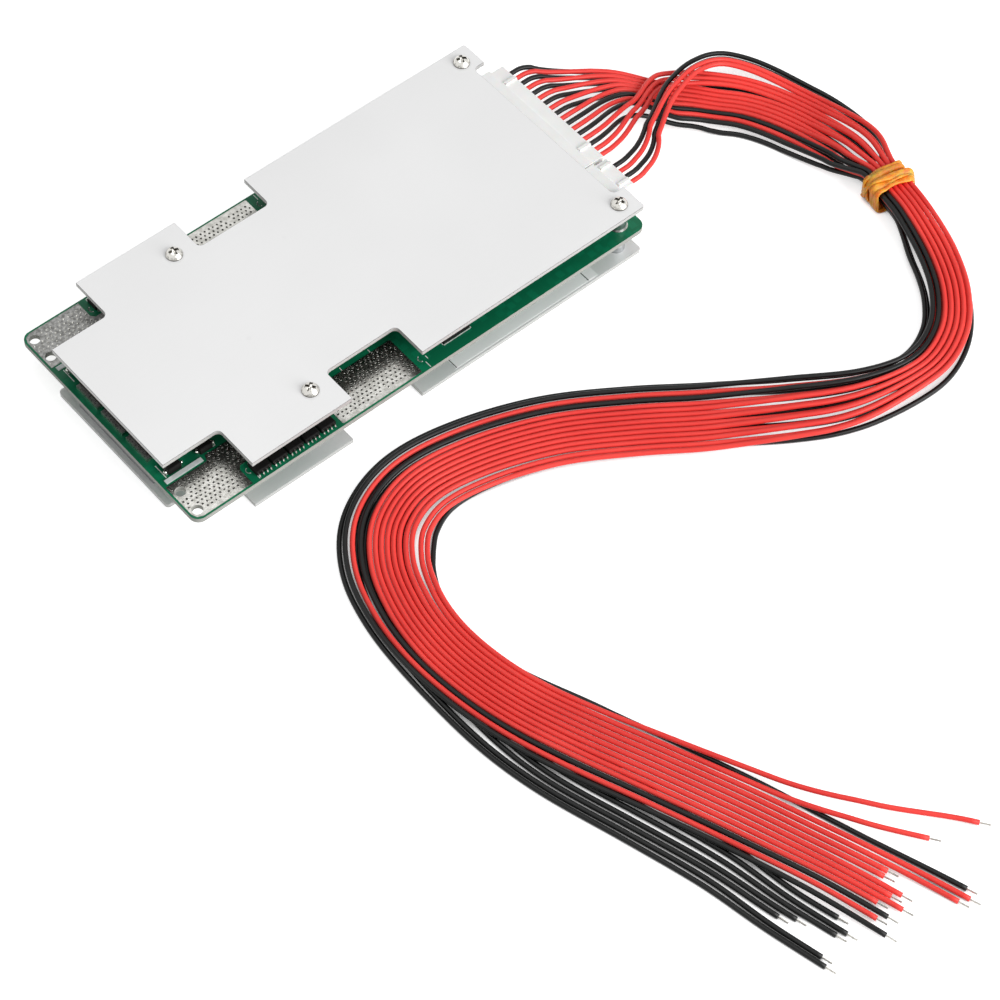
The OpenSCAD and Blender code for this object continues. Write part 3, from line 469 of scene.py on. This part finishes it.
def makeBand():
    v = bandValues
    total = v["turns"] * v["steps"]
    middle, way = lineAt(v["at"]), lineWay(v["at"])
    along, across = Vector((way.x, way.y, 0)), Vector((-way.y, way.x, 0))
    build = bmesh.new()
    rings = []
    for i in range(total):
        turn = i / v["steps"]
        half = turn * 2
        low = int(half)
        t = half - low
        t = t * t * (3 - 2 * t)
        shift = v["places"][low] * (1 - t) + v["places"][low + 1] * t
        share = turn + v["start"]
        z0 = bandRound(share, 0)[1]
        free = min(max((z0 + v["height"] / 2) / 2, 0), 1)
        last = math.sin(math.pi * min(max(turn - v["turns"] + 1, 0), 1)) ** 0.5
        fast, slow = v["lumpWaves"]
        lump = abs(math.sin(turn * fast) * math.sin(turn * slow + 1))
        lift = free * (v["crossing"] * last + v["lump"] * lump)
        x, z, angle = bandRound(share, v["thick"] / 2 + lift)
        facing = math.radians(angle)
        outward = across * math.cos(facing) + Vector((0, 0, 1)) * math.sin(facing)
        twist = free * v["twist"] * math.sin(turn * v["twistWave"] + 0.6)
        wide = along * math.cos(twist) + outward * math.sin(twist)
        deep = outward * math.cos(twist) - along * math.sin(twist)
        centre = Vector((middle.x, middle.y, v["foot"] + v["height"] / 2 + z)) + across * x \
            + along * shift
        width = v["wide"] * (1 + v["swell"] * math.sin(turn * v["swellWave"] + 2))
        rings.append([build.verts.new(mm * (centre + wide * width / 2 * squared(math.cos(q))
                                            + deep * v["thick"] / 2 * squared(math.sin(q))))
                      for q in [k * 2 * math.pi / v["sides"] for k in range(v["sides"])]])
    for i in range(total):
        low, high = rings[i], rings[(i + 1) % total]
        for k in range(v["sides"]):
            nextK = (k + 1) % v["sides"]
            build.faces.new((low[k], low[nextK], high[nextK], high[k]))
    bmesh.ops.recalc_face_normals(build, faces=build.faces)
    mesh = meshOf(build, "rubberBandTurns")
    mesh.polygons.foreach_set("use_smooth", [True] * len(mesh.polygons))
    return mesh


# dipped natural rubber: amber, a little see-through, ragged lighter and darker lumps
bandRubber = makeFinish("naturalRubber", "FFAA2F", "FA8115", 2.4, 0.9, 0.5, 0.06, 0.0,
                        **{"Subsurface Weight": 0.75, "Subsurface Scale": 0.003,
                           "Subsurface Radius": (1.0, 0.5, 0.12), "IOR": 1.52})
newPiece("rubberBandTurns", makeBand(), bandRubber, ["rubber_band"])
print("rubber band wound")


# sizes in mm; cut colours the upright edges; corner is a dark painted line of shade on the bevels;
# under is painted shade on the lower face
plateValues = {"metallic": 0.25, "rough": 0.48, "grain": 0.5, "stretch": 0.06, "relief": 0.004,
               "patch": 60, "speckGap": 16, "speckDark": 0.8, "speckEdge": (0.03, 0.06),
               "cut": "C2C2C0", "corner": "4C4C4B", "under": "6A6A69"}
satinAluminium = makeSheetMetal("satinAnodisedAluminium", "EBEBEB", "E7E7E7", plateValues)
boardMaterial = makeBoardMaterial({"overCopper": "0F7450", "overGlass": "0D6A48", "track": 3.2,
    "relief": 0.03, "maskRough": 0.28, "edgeRough": 0.7, "fibre": 0.4, "edgeLight": "B9BAB5",
    "edgeDark": "94958E"})
# solder flowed over copper: mirror-like with a slight ripple
tinnedCopper = makeFinish("hotTinnedCopper", "DAD9D4", "B5B4AE", 1.2, 0.5, 0.22, 0.05, 1.0)
# the same tin, rougher; its darker grey colour is painted shade
roughTinPaintedShade = makeFinish("roughTinWithPaintedShade", "9C9C9A", "6F6F6D", 0.9, 0.4, 0.4, 0.06, 1.0)
# thick solder bar: cloudy and pale
solderBar = makeFinish("cloudySolder", "DDE3E2", "CBD1D0", 1.5, 0.4, 0.5, 0.02, 0.0)
# vinyl sticker: white, matt, very fine tooth
labelFilm = makeFinish("mattVinylFilm", "F6F6F6", "F0F0F0", 18, 0.4, 0.55, 0.01)
# silicone gap pad: grey-blue, soft, slightly grainy
thermalPad = makeFinish("siliconeGapPad", "8F9092", "7C7D7F", 5, 0.5, 0.75, 0.05)
# turned aluminium: bright with fine tool marks
spacerMetal = makeFinish("turnedAluminium", "C4C6C8", "A9ABAD", 1.5, 0.2, 0.34, 0.01, 1.0)
# moulded epoxy: near black, matt, fine pits
chipEpoxy = makeFinish("mouldedEpoxy", "181716", "131212", 2, 1.5, 0.6, 0.001, 0.0,
                       **{"Specular IOR Level": 0.16})
# tin plate on a lead frame: bright, slightly cloudy
tinnedLead = makeFinish("tinPlatedLead", "D0D0CC", "BABAB5", 1, 0.5, 0.3, 0.003, 1.0)
# glazed film on ceramic: dark, half glossy
resistorBody = makeFinish("glazedResistor", "2B2B2D", "1F1F21", 1.5, 0.4, 0.35, 0.01)
# fired ceramic: tan, dull
capacitorCeramic = makeFinish("firedCeramic", "A98A66", "93744F", 0.8, 0.2, 0.55, 0.01)
# natural nylon: warm white, waxy
connectorNylon = makeFinish("naturalNylon", "F0F0EF", "ECECEA", 6, 0.5, 0.5, 0.02, 0.0,
    **{"Subsurface Weight": 0.1, "Subsurface Scale": 0.001, "IOR": 1.53})
# tin on bronze: warm grey metal
contactTin = makeFinish("tinOnBronze", "D6CFB8", "B8AF93", 1, 0.3, 0.3, 0.01, 1.0)


def makePlatedSteel(name, bright, paintedWallShade, rough):  # nickel plate: bright level faces; painted dark reflection and shade on the steep walls
    material, tree, shader, coords = startMaterial(name, {"Metallic": 1.0})
    wobble = noiseOf(tree, coords.outputs["Object"], 0.8)
    level = addNode(tree, "ShaderNodeMath", {0: levelOf(tree), 1: spread(tree, wobble, -0.1, 0.1)},
                    operation="ADD")
    # painted dark reflection and shade: steep faces, the head's rim and the cross recess, take the
    # dark colour
    colour = mixColour(tree, spread(tree, level.outputs[0], 0, 1, 0.3, 0.6), fromHex(paintedWallShade),
                       fromHex(bright))
    tree.links.new(colour, shader.inputs["Base Color"])
    tree.links.new(spread(tree, wobble, rough, rough + 0.1), shader.inputs["Roughness"])
    return material


screwSteel = makePlatedSteel("nickelPlatedSteel", "DEDCD6", "4A4741", 0.16)

finishes = {
    "satin_aluminium": (satinAluminium, ["bottom_plate", "top_plate"]),
    "label_film": (labelFilm, ["plate_label"]),
    "thermal_pad": (thermalPad, ["lower_thermal_pad", "upper_thermal_pad"]),
    "spacer_metal": (spacerMetal, ["lower_spacers", "upper_spacers"]),
    "solder_mask": (boardMaterial, ["circuit_board"]),
    "tinned_copper": (tinnedCopper, ["solder_pads_top", "solder_pads_bottom"]),
    "chip_epoxy": (chipEpoxy, ["power_transistors_top", "power_transistors_bottom",
        "driver_chips", "clamp_diodes", "monitor_chips", "balance_transistors",
        "supply_inductor"]),
    "tinned_lead": (tinnedLead, ["transistor_leads_top", "transistor_leads_bottom",
        "driver_leads", "diode_ends", "monitor_leads"]),
    "resistor_body": (resistorBody, ["shunt_resistors", "balance_resistors"]),
    "capacitor_ceramic": (capacitorCeramic, ["filter_capacitors"]),
    "connector_nylon": (connectorNylon, ["header_long", "header_short", "plug_long",
        "plug_short"]),
    "contact_tin": (contactTin, ["header_pins", "crimp_contacts"]),
    "screw_steel": (screwSteel, ["plate_screws"])}
for slotMaterial, members in [*finishes.values(), (solderBar, ["bus_strips"])]:
    for member in members:
        nodes[member].data.materials.clear()
        nodes[member].data.materials.append(slotMaterial)
print("finishes given")


# width of the broken edge in mm
edgeValues = {"top_plate": 0.22, "bottom_plate": 0.22, "plug_long": 0.25, "plug_short": 0.25,
              "header_long": 0.2, "header_short": 0.2, "circuit_board": 0.08}
roundedCorners = {"bottom_plate": 1.2}  # radius at the corners of the tab end, mm
sharpAngle = 40  # edges sharper than this are broken, degrees
tabReach = 0.5  # corners this near the tab end are rounded, mm


def soften(nodeName, width):  # a copy of the CAD shape with its edges broken
    build = bmesh.new()
    build.from_mesh(nodes[nodeName].data)
    bmesh.ops.remove_doubles(build, verts=build.verts, dist=1e-6)
    bmesh.ops.dissolve_limit(build, angle_limit=math.radians(1), verts=build.verts,
                             edges=build.edges)
    bmesh.ops.recalc_face_normals(build, faces=build.faces)
    if nodeName in roundedCorners:
        reach = min(v.co.x for v in build.verts) + tabReach * mm
        upright = [e for e in build.edges if abs(e.verts[0].co.z - e.verts[1].co.z) > mm
                   and e.verts[0].co.x < reach]
        bmesh.ops.bevel(build, geom=upright, offset=roundedCorners[nodeName] * mm, segments=4,
                        profile=0.5, affect="EDGES")
    sharp = [e for e in build.edges
             if e.is_manifold and e.calc_face_angle() > math.radians(sharpAngle)]
    bmesh.ops.bevel(build, geom=sharp, offset=width * mm, segments=2, profile=0.5,
                    affect="EDGES", clamp_overlap=True)
    words = nodeName.split("_")
    mesh = meshOf(build, words[0] + words[1].capitalize() + "Softened")
    slotName = [s for s, (m, members) in finishes.items() if nodeName in members][0]
    newPiece(mesh.name, mesh, finishes[slotName][0], [nodeName])


for nodeName, width in edgeValues.items():
    soften(nodeName, width)
print("edges softened")


def makeScatterTree(name, shape):  # puts one small shape on each point
    tree = bpy.data.node_groups.new(name, "GeometryNodeTree")
    face = tree.interface
    face.new_socket("Geometry", in_out="INPUT", socket_type="NodeSocketGeometry")
    for label, start in (("Radius", 0.3), ("Height", 0.1), ("Least Size", 0.8),
                         ("Largest Size", 1.2)):
        face.new_socket(label, in_out="INPUT", socket_type="NodeSocketFloat").default_value = start
    face.new_socket("Seed", in_out="INPUT", socket_type="NodeSocketInt")
    face.new_socket("Material", in_out="INPUT", socket_type="NodeSocketMaterial")
    face.new_socket("Geometry", in_out="OUTPUT", socket_type="NodeSocketGeometry")
    given = addNode(tree, "NodeGroupInput").outputs
    if shape == "ring":  # a low meniscus round a via
        main = addNode(tree, "GeometryNodeCurvePrimitiveCircle",
                       {"Resolution": 12, "Radius": given["Radius"]})
        section = addNode(tree, "GeometryNodeCurvePrimitiveCircle",
                          {"Resolution": 5, "Radius": given["Height"]})
        form = addNode(tree, "GeometryNodeCurveToMesh", {"Curve": main.outputs["Curve"],
                       "Profile Curve": section.outputs["Curve"]}).outputs[0]
    elif shape == "barrel":  # a short closed plug
        form = addNode(tree, "GeometryNodeMeshCylinder", {"Vertices": 12,
                       "Radius": given["Radius"], "Depth": given["Height"]}).outputs[0]
    elif shape == "bead":  # a drop of solder
        form = addNode(tree, "GeometryNodeMeshUVSphere", {"Segments": 10, "Rings": 6,
                       "Radius": given["Radius"]}).outputs[0]
    else:  # a solder cone, narrow end up
        form = addNode(tree, "GeometryNodeMeshCone", {"Vertices": 12, "Radius Top": 0.42 * mm,
                       "Radius Bottom": given["Radius"], "Depth": given["Height"]}).outputs[0]
    low, high = [addNode(tree, "ShaderNodeCombineXYZ", {i: given[label] for i in range(3)})
                 for label in ("Least Size", "Largest Size")]
    size = addNode(tree, "FunctionNodeRandomValue", {0: low.outputs[0], 1: high.outputs[0],
                   "Seed": given["Seed"]}, data_type="FLOAT_VECTOR")
    placed = addNode(tree, "GeometryNodeInstanceOnPoints", {"Points": given["Geometry"],
                     "Instance": form, "Scale": size.outputs[0]})
    real = addNode(tree, "GeometryNodeRealizeInstances", {0: placed.outputs[0]})
    painted = addNode(tree, "GeometryNodeSetMaterial", {"Geometry": real.outputs[0],
                      "Material": given["Material"]})
    addNode(tree, "NodeGroupOutput", {0: painted.outputs[0]})
    return tree


def scatter(name, shape, points, values, material):
    tree = makeScatterTree(name, shape)
    mesh = bpy.data.meshes.new(name)
    mesh.from_pydata([Vector(p) * mm for p in points], [], [])
    holder = bpy.data.objects.new(name + "Points", mesh)
    scene.collection.objects.link(holder)
    modifier = holder.modifiers.new("scatter", "NODES")
    modifier.node_group = tree
    sockets = {s.name: s.identifier for s in tree.interface.items_tree if s.in_out == "INPUT"}
    for label, value in {**values, "Material": material}.items():
        modifier[sockets[label]] = value
    result = bpy.data.meshes.new_from_object(
        holder.evaluated_get(bpy.context.evaluated_depsgraph_get()))
    holder.modifiers.remove(modifier)
    bpy.data.objects.remove(holder)
    result.name = name
    return newPiece(name, result, material)


# tinned pads: half outlines, x and distance from the board's middle, mm
padValues = {"level": 11.3, "thick": 0.1, "holeWidth": 3.2, "ringWidth": 5.8, "boreWidth": 2.8}
endPad = [(-81.4, 25.8), (-81.4, 37.1), (-80.7, 38.7), (-79.1, 39.4), (-62.6, 39.4), (-62.6, 33.8),
          (-61.6, 32.6), (-57.8, 32.6), (-57.8, 24.0), (-66.9, 24.0), (-67.7, 25.8)]
middlePad = [(-31.7, 25.6), (-31.7, 39.1), (-31.4, 39.4), (-4.3, 39.4), (-4.0, 39.1),
             (-4.0, 25.6), (-4.3, 25.3), (-31.4, 25.3)]
cableHoles = [(-79.2, s * y) for s in (-1, 1) for y in (36.8, 29.3)]
screwPlaces = [(71.8, -34.5), (71.8, 34.5), (-35.5, -30.3), (-35.5, 30.3)]


def circleOf(x, y, width, sides=32):
    return [(x + width / 2 * math.cos(2 * math.pi * k / sides),
             y + width / 2 * math.sin(2 * math.pi * k / sides)) for k in range(sides)]


def makePads(name, shapes, material):  # shapes: an outline and its holes
    v = padValues
    build = bmesh.new()
    for loops in shapes:
        flat = []
        for loop in loops:
            ring = [build.verts.new(Vector((x, y, v["level"])) * mm) for x, y in loop]
            flat += [build.edges.new((a, b)) for a, b in zip(ring, ring[1:] + ring[:1])]
        made = bmesh.ops.triangle_fill(build, use_beauty=True, edges=flat)["geom"]
        sheet = [f for f in made if isinstance(f, bmesh.types.BMFace)]
        grown = bmesh.ops.extrude_face_region(build, geom=sheet, use_keep_orig=True)["geom"]
        bmesh.ops.translate(build, vec=(0, 0, v["thick"] * mm),
                            verts=[g for g in grown if isinstance(g, bmesh.types.BMVert)])
    bmesh.ops.recalc_face_normals(build, faces=build.faces)
    newPiece(name, meshOf(build, name), material, ["solder_pads_top"])


def onSide(points, side):  # side is 1 or -1, the sign of y
    return [(x, side * y) for x, y in points]


holes = {side: [circleOf(x, y, padValues["holeWidth"]) for x, y in cableHoles if y * side > 0]
         for side in (-1, 1)}
rings = [[circleOf(x, y, padValues["ringWidth"]), circleOf(x, y, padValues["boreWidth"])]
         for x, y in screwPlaces]
makePads("brightPads", [[onSide(endPad, -1)] + holes[-1], [onSide(middlePad, -1)],
                        [onSide(middlePad, 1)]] + rings, tinnedCopper)
# the rear end pad takes the rougher tin, darkened as painted shade
makePads("rearPadPaintedShade", [[onSide(endPad, 1)] + holes[1]], roughTinPaintedShade)

# head and shank in mm, turns in degrees; the recess is a cross with sloping arms
screwValues = {"headWidth": 5.0, "headHeight": 1.85, "rim": 0.3, "plateTop": 20.3, "shank": 2.4,
               "foot": 0.4, "armLength": 1.45, "armWidth": 0.78, "depth": 1.0, "slope": 0.55,
               "fullness": 3, "around": 72, "rows": 20, "turns": (20, 65, 38, 80)}


def headSurface(x, y):  # height of the head over its rim
    v = screwValues
    share = math.hypot(x, y) / (v["headWidth"] / 2)
    dome = (v["headHeight"] - v["rim"]) * (1 - share ** v["fullness"])
    cut = 0
    for along, across in ((abs(x), abs(y)), (abs(y), abs(x))):
        if along < v["armLength"] and across < v["armWidth"] / 2:
            cut = max(cut, v["depth"] * (1 - v["slope"] * along / v["armLength"]))
    return v["rim"] + dome - cut


def makeScrews():
    v = screwValues
    build = bmesh.new()
    for (cx, cy), turn in zip(screwPlaces, v["turns"]):
        turned = Matrix.Rotation(math.radians(turn), 2)
        profile = [(v["shank"] / 2, v["foot"] - v["plateTop"]), (v["shank"] / 2, 0),
                   (v["headWidth"] / 2, 0), (v["headWidth"] / 2, v["rim"])]
        for k in range(1, v["rows"]):
            profile.append((v["headWidth"] / 2 * (1 - k / v["rows"]), None))
        last = None
        for radius, height in profile:
            ring = []
            for k in range(v["around"]):
                angle = 2 * math.pi * k / v["around"]
                x, y = radius * math.cos(angle), radius * math.sin(angle)
                z = headSurface(x, y) if height is None else height
                place = turned @ Vector((x, y))
                ring.append(build.verts.new(Vector((cx + place.x, cy + place.y,
                                                    v["plateTop"] + z)) * mm))
            if last is None:
                build.faces.new(ring[::-1])
            else:
                for k in range(v["around"]):
                    n = (k + 1) % v["around"]
                    build.faces.new((last[k], last[n], ring[n], ring[k]))
            last = ring
        build.faces.new(last)
    mesh = meshOf(build, "crossRecessScrews")
    newPiece(mesh.name, mesh, screwSteel, ["plate_screws"])


makeScrews()
print("pads and screws made")

padTop = padValues["level"] + padValues["thick"]
# staggered rows, mm; flush is the share that solder has filled
viaValues = {"pitch": 1.45, "rowPitch": 1.27, "jitter": 0.1, "inset": 0.75, "edgeRoom": 0.6,
             "holeRoom": 2.3, "flush": 0.05, "seed": 7}
padBoxes = [(-81.4, -57.8, 24.0, 39.4, endPad), (-31.7, -4.0, 25.3, 39.4, middlePad)]


def inside(x, y, outline):  # counts the edges crossed on the way out
    hits = 0
    for (x0, y0), (x1, y1) in zip(outline, outline[1:] + outline[:1]):
        if (y0 > y) != (y1 > y) and x < x0 + (y - y0) * (x1 - x0) / (y1 - y0):
            hits += 1
    return hits % 2 == 1


def viaPlaces(values):
    random.seed(values["seed"])
    places = []
    inset, room = values["inset"], values["edgeRoom"]
    for x0, x1, y0, y1, outline in padBoxes:
        for side in (-1, 1):
            for j in range(int((y1 - y0 - 2 * inset) / values["rowPitch"]) + 1):
                for i in range(int((x1 - x0 - 2 * inset) / values["pitch"]) + 1):
                    x = x0 + inset + (i + 0.5 * (j % 2)) * values["pitch"]
                    y = y0 + inset + j * values["rowPitch"]
                    x += random.uniform(-1, 1) * values["jitter"]
                    y += random.uniform(-1, 1) * values["jitter"]
                    if random.random() < values["flush"]:
                        continue  # filled flush with solder
                    onPad = all(inside(x + a, y + b, outline)
                                for a, b in ((room, 0), (-room, 0), (0, room), (0, -room)))
                    if onPad and all(math.hypot(x - a, y - b) > values["holeRoom"]
                                     for a, b in cableHoles):
                        places.append((x, side * y, padTop))
    return places


vias = viaPlaces(viaValues)
padsBetween = -50  # x between the end pads and the middle pads, mm
rearPadVias = [p for p in vias if p[1] > 0 and p[0] < padsBetween]
openVias = [p for p in vias if p not in rearPadVias]
# painted shade: a dark, dull disc on each open via stands in for the shade inside its hole
paintedViaShade = makeFinish("paintedViaShade", "2A2925", "1C1B18", 0.4, 0.1, 0.6, 0.01)
scatter("viaRims", "ring", vias, {"Radius": 0.37 * mm, "Height": 0.04 * mm, "Least Size": 0.85,
        "Largest Size": 1.1, "Seed": 3}, tinnedCopper)
# painted shade of the open via holes
scatter("paintedViaShadeDiscs", "barrel", openVias, {"Radius": 0.33 * mm, "Height": 0.08 * mm,
        "Least Size": 0.7, "Largest Size": 1.1, "Seed": 5}, paintedViaShade)
scatter("filledVias", "bead", rearPadVias, {"Radius": 0.3 * mm, "Height": 0.1 * mm,
        "Least Size": 0.5, "Largest Size": 1.0, "Seed": 4}, tinnedCopper)
# solder at the ends of the clamp diodes
diodeEnds = [(x, s * 22.1, 12.0) for s in (-1, 1) for x in (-78.75, -73.45, -68.25, -62.95)]
scatter("diodeSolder", "bead", diodeEnds, {"Radius": 0.6 * mm, "Height": 0.1 * mm,
        "Least Size": 0.85, "Largest Size": 1.1, "Seed": 6}, tinnedCopper)
# the header's pins; each cone starts under the board and narrows into it
pinRow = [(63.78, wayPlace(n), 9.35) for n in range(1, wireValues["ways"] + 1)]
scatter("solderJoints", "cone", pinRow, {"Radius": 0.85 * mm, "Height": 0.7 * mm,
        "Least Size": 0.95, "Largest Size": 1.05, "Seed": 2}, tinnedCopper)
print("vias and solder joints placed")


def makeLines(name, lines, width, level, thick):  # flat strokes along lists of points, mm
    build = bmesh.new()
    for points in lines:
        for a, b in zip(points, points[1:]):
            a, b = Vector((*a, 0)), Vector((*b, 0))
            way = (b - a).normalized() * width / 2
            side = Vector((-way.y, way.x, 0))
            foot = [p + Vector((0, 0, level)) for p in (a - way - side, b + way - side,
                                                        b + way + side, a - way + side)]
            low = [build.verts.new(p * mm) for p in foot]
            high = [build.verts.new((p + Vector((0, 0, thick))) * mm) for p in foot]
            build.faces.new(low[::-1])
            build.faces.new(high)
            for k in range(4):
                build.faces.new((low[k], low[(k + 1) % 4], high[(k + 1) % 4], high[k]))
    return meshOf(build, name)


def arc(x, y, radius, start, end, steps=8):
    return [(x + radius * math.cos(math.radians(start + (end - start) * i / steps)),
             y + radius * math.sin(math.radians(start + (end - start) * i / steps)))
            for i in range(steps + 1)]


markValues = {"width": 0.26, "level": padValues["level"], "thick": 0.03}
markLines = [[(6.3, -34.8), (6.3, -36.2), (16.1, -36.2), (16.1, -34.8)],
    [(-79.3, -18.4), (-79.3, -23.2)], [(-78.9, -21.3), (-78.9, -22.5), (-77, -22.5), (-77, -21.3)],
    [(-65, -21.3), (-65, -23), (-62.7, -23), (-62.7, -21.3)], [(-65.7, -23.8), (-65.7, -25.1)],
    [(-10.8, -24.2), (-10.8, -25.2)], [(-20.7, -24.1), (-20.7, -25.2)],
    arc(-60.7, -35.4, 1.0, 110, 250), [(-60.1, -36.9), (-60.1, -39.2)],
    arc(-1.4, -35.8, 1.0, 110, 250), [(-1.1, -37.5), (-1.1, -39.4)], [(0.1, -35.8), (0.1, -36.8)]]
# epoxy ink: white, matt
boardInk = makeFinish("whiteEpoxyInk", "E9ECE8", "D3D8D2", 2, 0.3, 0.6, 0.01)
mirrored = [[(x, -y) for x, y in line] for line in markLines[1:]]
newPiece("printedMarks", makeLines("printedMarks", markLines + mirrored, **markValues),
         boardInk)
# border lines of the bare label: grey ink, matt
borderValues = {"width": 0.3, "level": 1.6, "thick": 0.02}
labelInk = makeFinish("greyLabelInk", "5B5C5D", "4E4F50", 2, 0.3, 0.6, 0.01)
borderLines = [[(x, -38.7), (x, -17.2)] for x in (8.9, 57.6)]
newPiece("labelBorder", makeLines("labelBorder", borderLines, **borderValues), labelInk)
print("marks drawn")


# powers in watt, places and sizes in metres, gapReach in mm
roomValues = {"floor": "E6E6E6", "floorSize": 6, "floorLift": 0.66, "paintedGapShade": "3C2A29",
              "gapReach": 3, "gapLift": 0.1, "ambient": 0.36, "keyPower": 3.75, "keySize": 1.2,
              "keyFrom": (-0.1, 0.1, 1.25), "fillPower": 19.0, "fillSize": 1.2,
              "fillFrom": (0.45, -1.15, 0.6)}


def seenWhite(tree):  # 1 for rays from the camera and in reflections
    rays = addNode(tree, "ShaderNodeLightPath").outputs
    first = addNode(tree, "ShaderNodeMath", {0: rays["Is Camera Ray"], 1: rays["Is Glossy Ray"]},
                    operation="MAXIMUM").outputs[0]
    return addNode(tree, "ShaderNodeMath", {0: first, 1: rays["Is Transmission Ray"]},
                   operation="MAXIMUM").outputs[0]


def makeFloor(values):
    build = bmesh.new()
    bmesh.ops.create_grid(build, x_segments=1, y_segments=1, size=values["floorSize"])
    mesh = meshOf(build, "floor")
    floor = bpy.data.objects.new("floor", mesh)
    scene.collection.objects.link(floor)
    material = bpy.data.materials.new("paleFloor")
    material.use_nodes = True
    tree = material.node_tree
    tree.nodes.clear()
    plain = addNode(tree, "ShaderNodeBsdfDiffuse")
    # painted shade: where wires nearly cover the floor its colour turns dark reddish and the white
    # lift fades, so narrow gaps stay dark
    cover = addNode(tree, "ShaderNodeAmbientOcclusion", {"Distance": values["gapReach"] * mm},
                    samples=8)
    notCovered = spread(tree, cover.outputs["AO"], values["gapLift"], 1, 0.15, 0.5)
    tree.links.new(mixColour(tree, notCovered, fromHex(values["paintedGapShade"]),
                             fromHex(values["floor"])), plain.inputs["Color"])
    seen = addNode(tree, "ShaderNodeMath", {0: seenWhite(tree), 1: notCovered},
                   operation="MULTIPLY")
    lift = addNode(tree, "ShaderNodeMath", {0: seen.outputs[0], 1: values["floorLift"]},
                   operation="MULTIPLY")
    glow = addNode(tree, "ShaderNodeEmission", {"Strength": lift.outputs[0]})
    both = addNode(tree, "ShaderNodeAddShader", {0: plain.outputs[0], 1: glow.outputs[0]})
    addNode(tree, "ShaderNodeOutputMaterial", {"Surface": both.outputs[0]})
    mesh.materials.append(material)


def makeLight(name, place, size, power):
    data = bpy.data.lights.new(name, "AREA")
    data.shape = "DISK"
    data.size = size
    data.energy = power
    lamp = bpy.data.objects.new(name, data)
    scene.collection.objects.link(lamp)
    lamp.location = place
    lamp.rotation_euler = (-Vector(place)).to_track_quat("-Z", "Y").to_euler()


makeFloor(roomValues)
makeLight("keyLight", roomValues["keyFrom"], roomValues["keySize"], roomValues["keyPower"])
makeLight("fillLight", roomValues["fillFrom"], roomValues["fillSize"], roomValues["fillPower"])
world = bpy.data.worlds.new("paleRoom")
world.use_nodes = True
scene.world = world
world.node_tree.nodes.clear()
strength = addNode(world.node_tree, "ShaderNodeMapRange", {"Value": seenWhite(world.node_tree),
                   "To Min": roomValues["ambient"], "To Max": 1.0})
background = addNode(world.node_tree, "ShaderNodeBackground", {"Strength": strength.outputs[0]})
background.inputs["Color"].default_value = (1, 1, 1, 1)
addNode(world.node_tree, "ShaderNodeOutputWorld", {"Surface": background.outputs[0]})
scene.view_settings.view_transform = "Standard"
print("floor and light set")
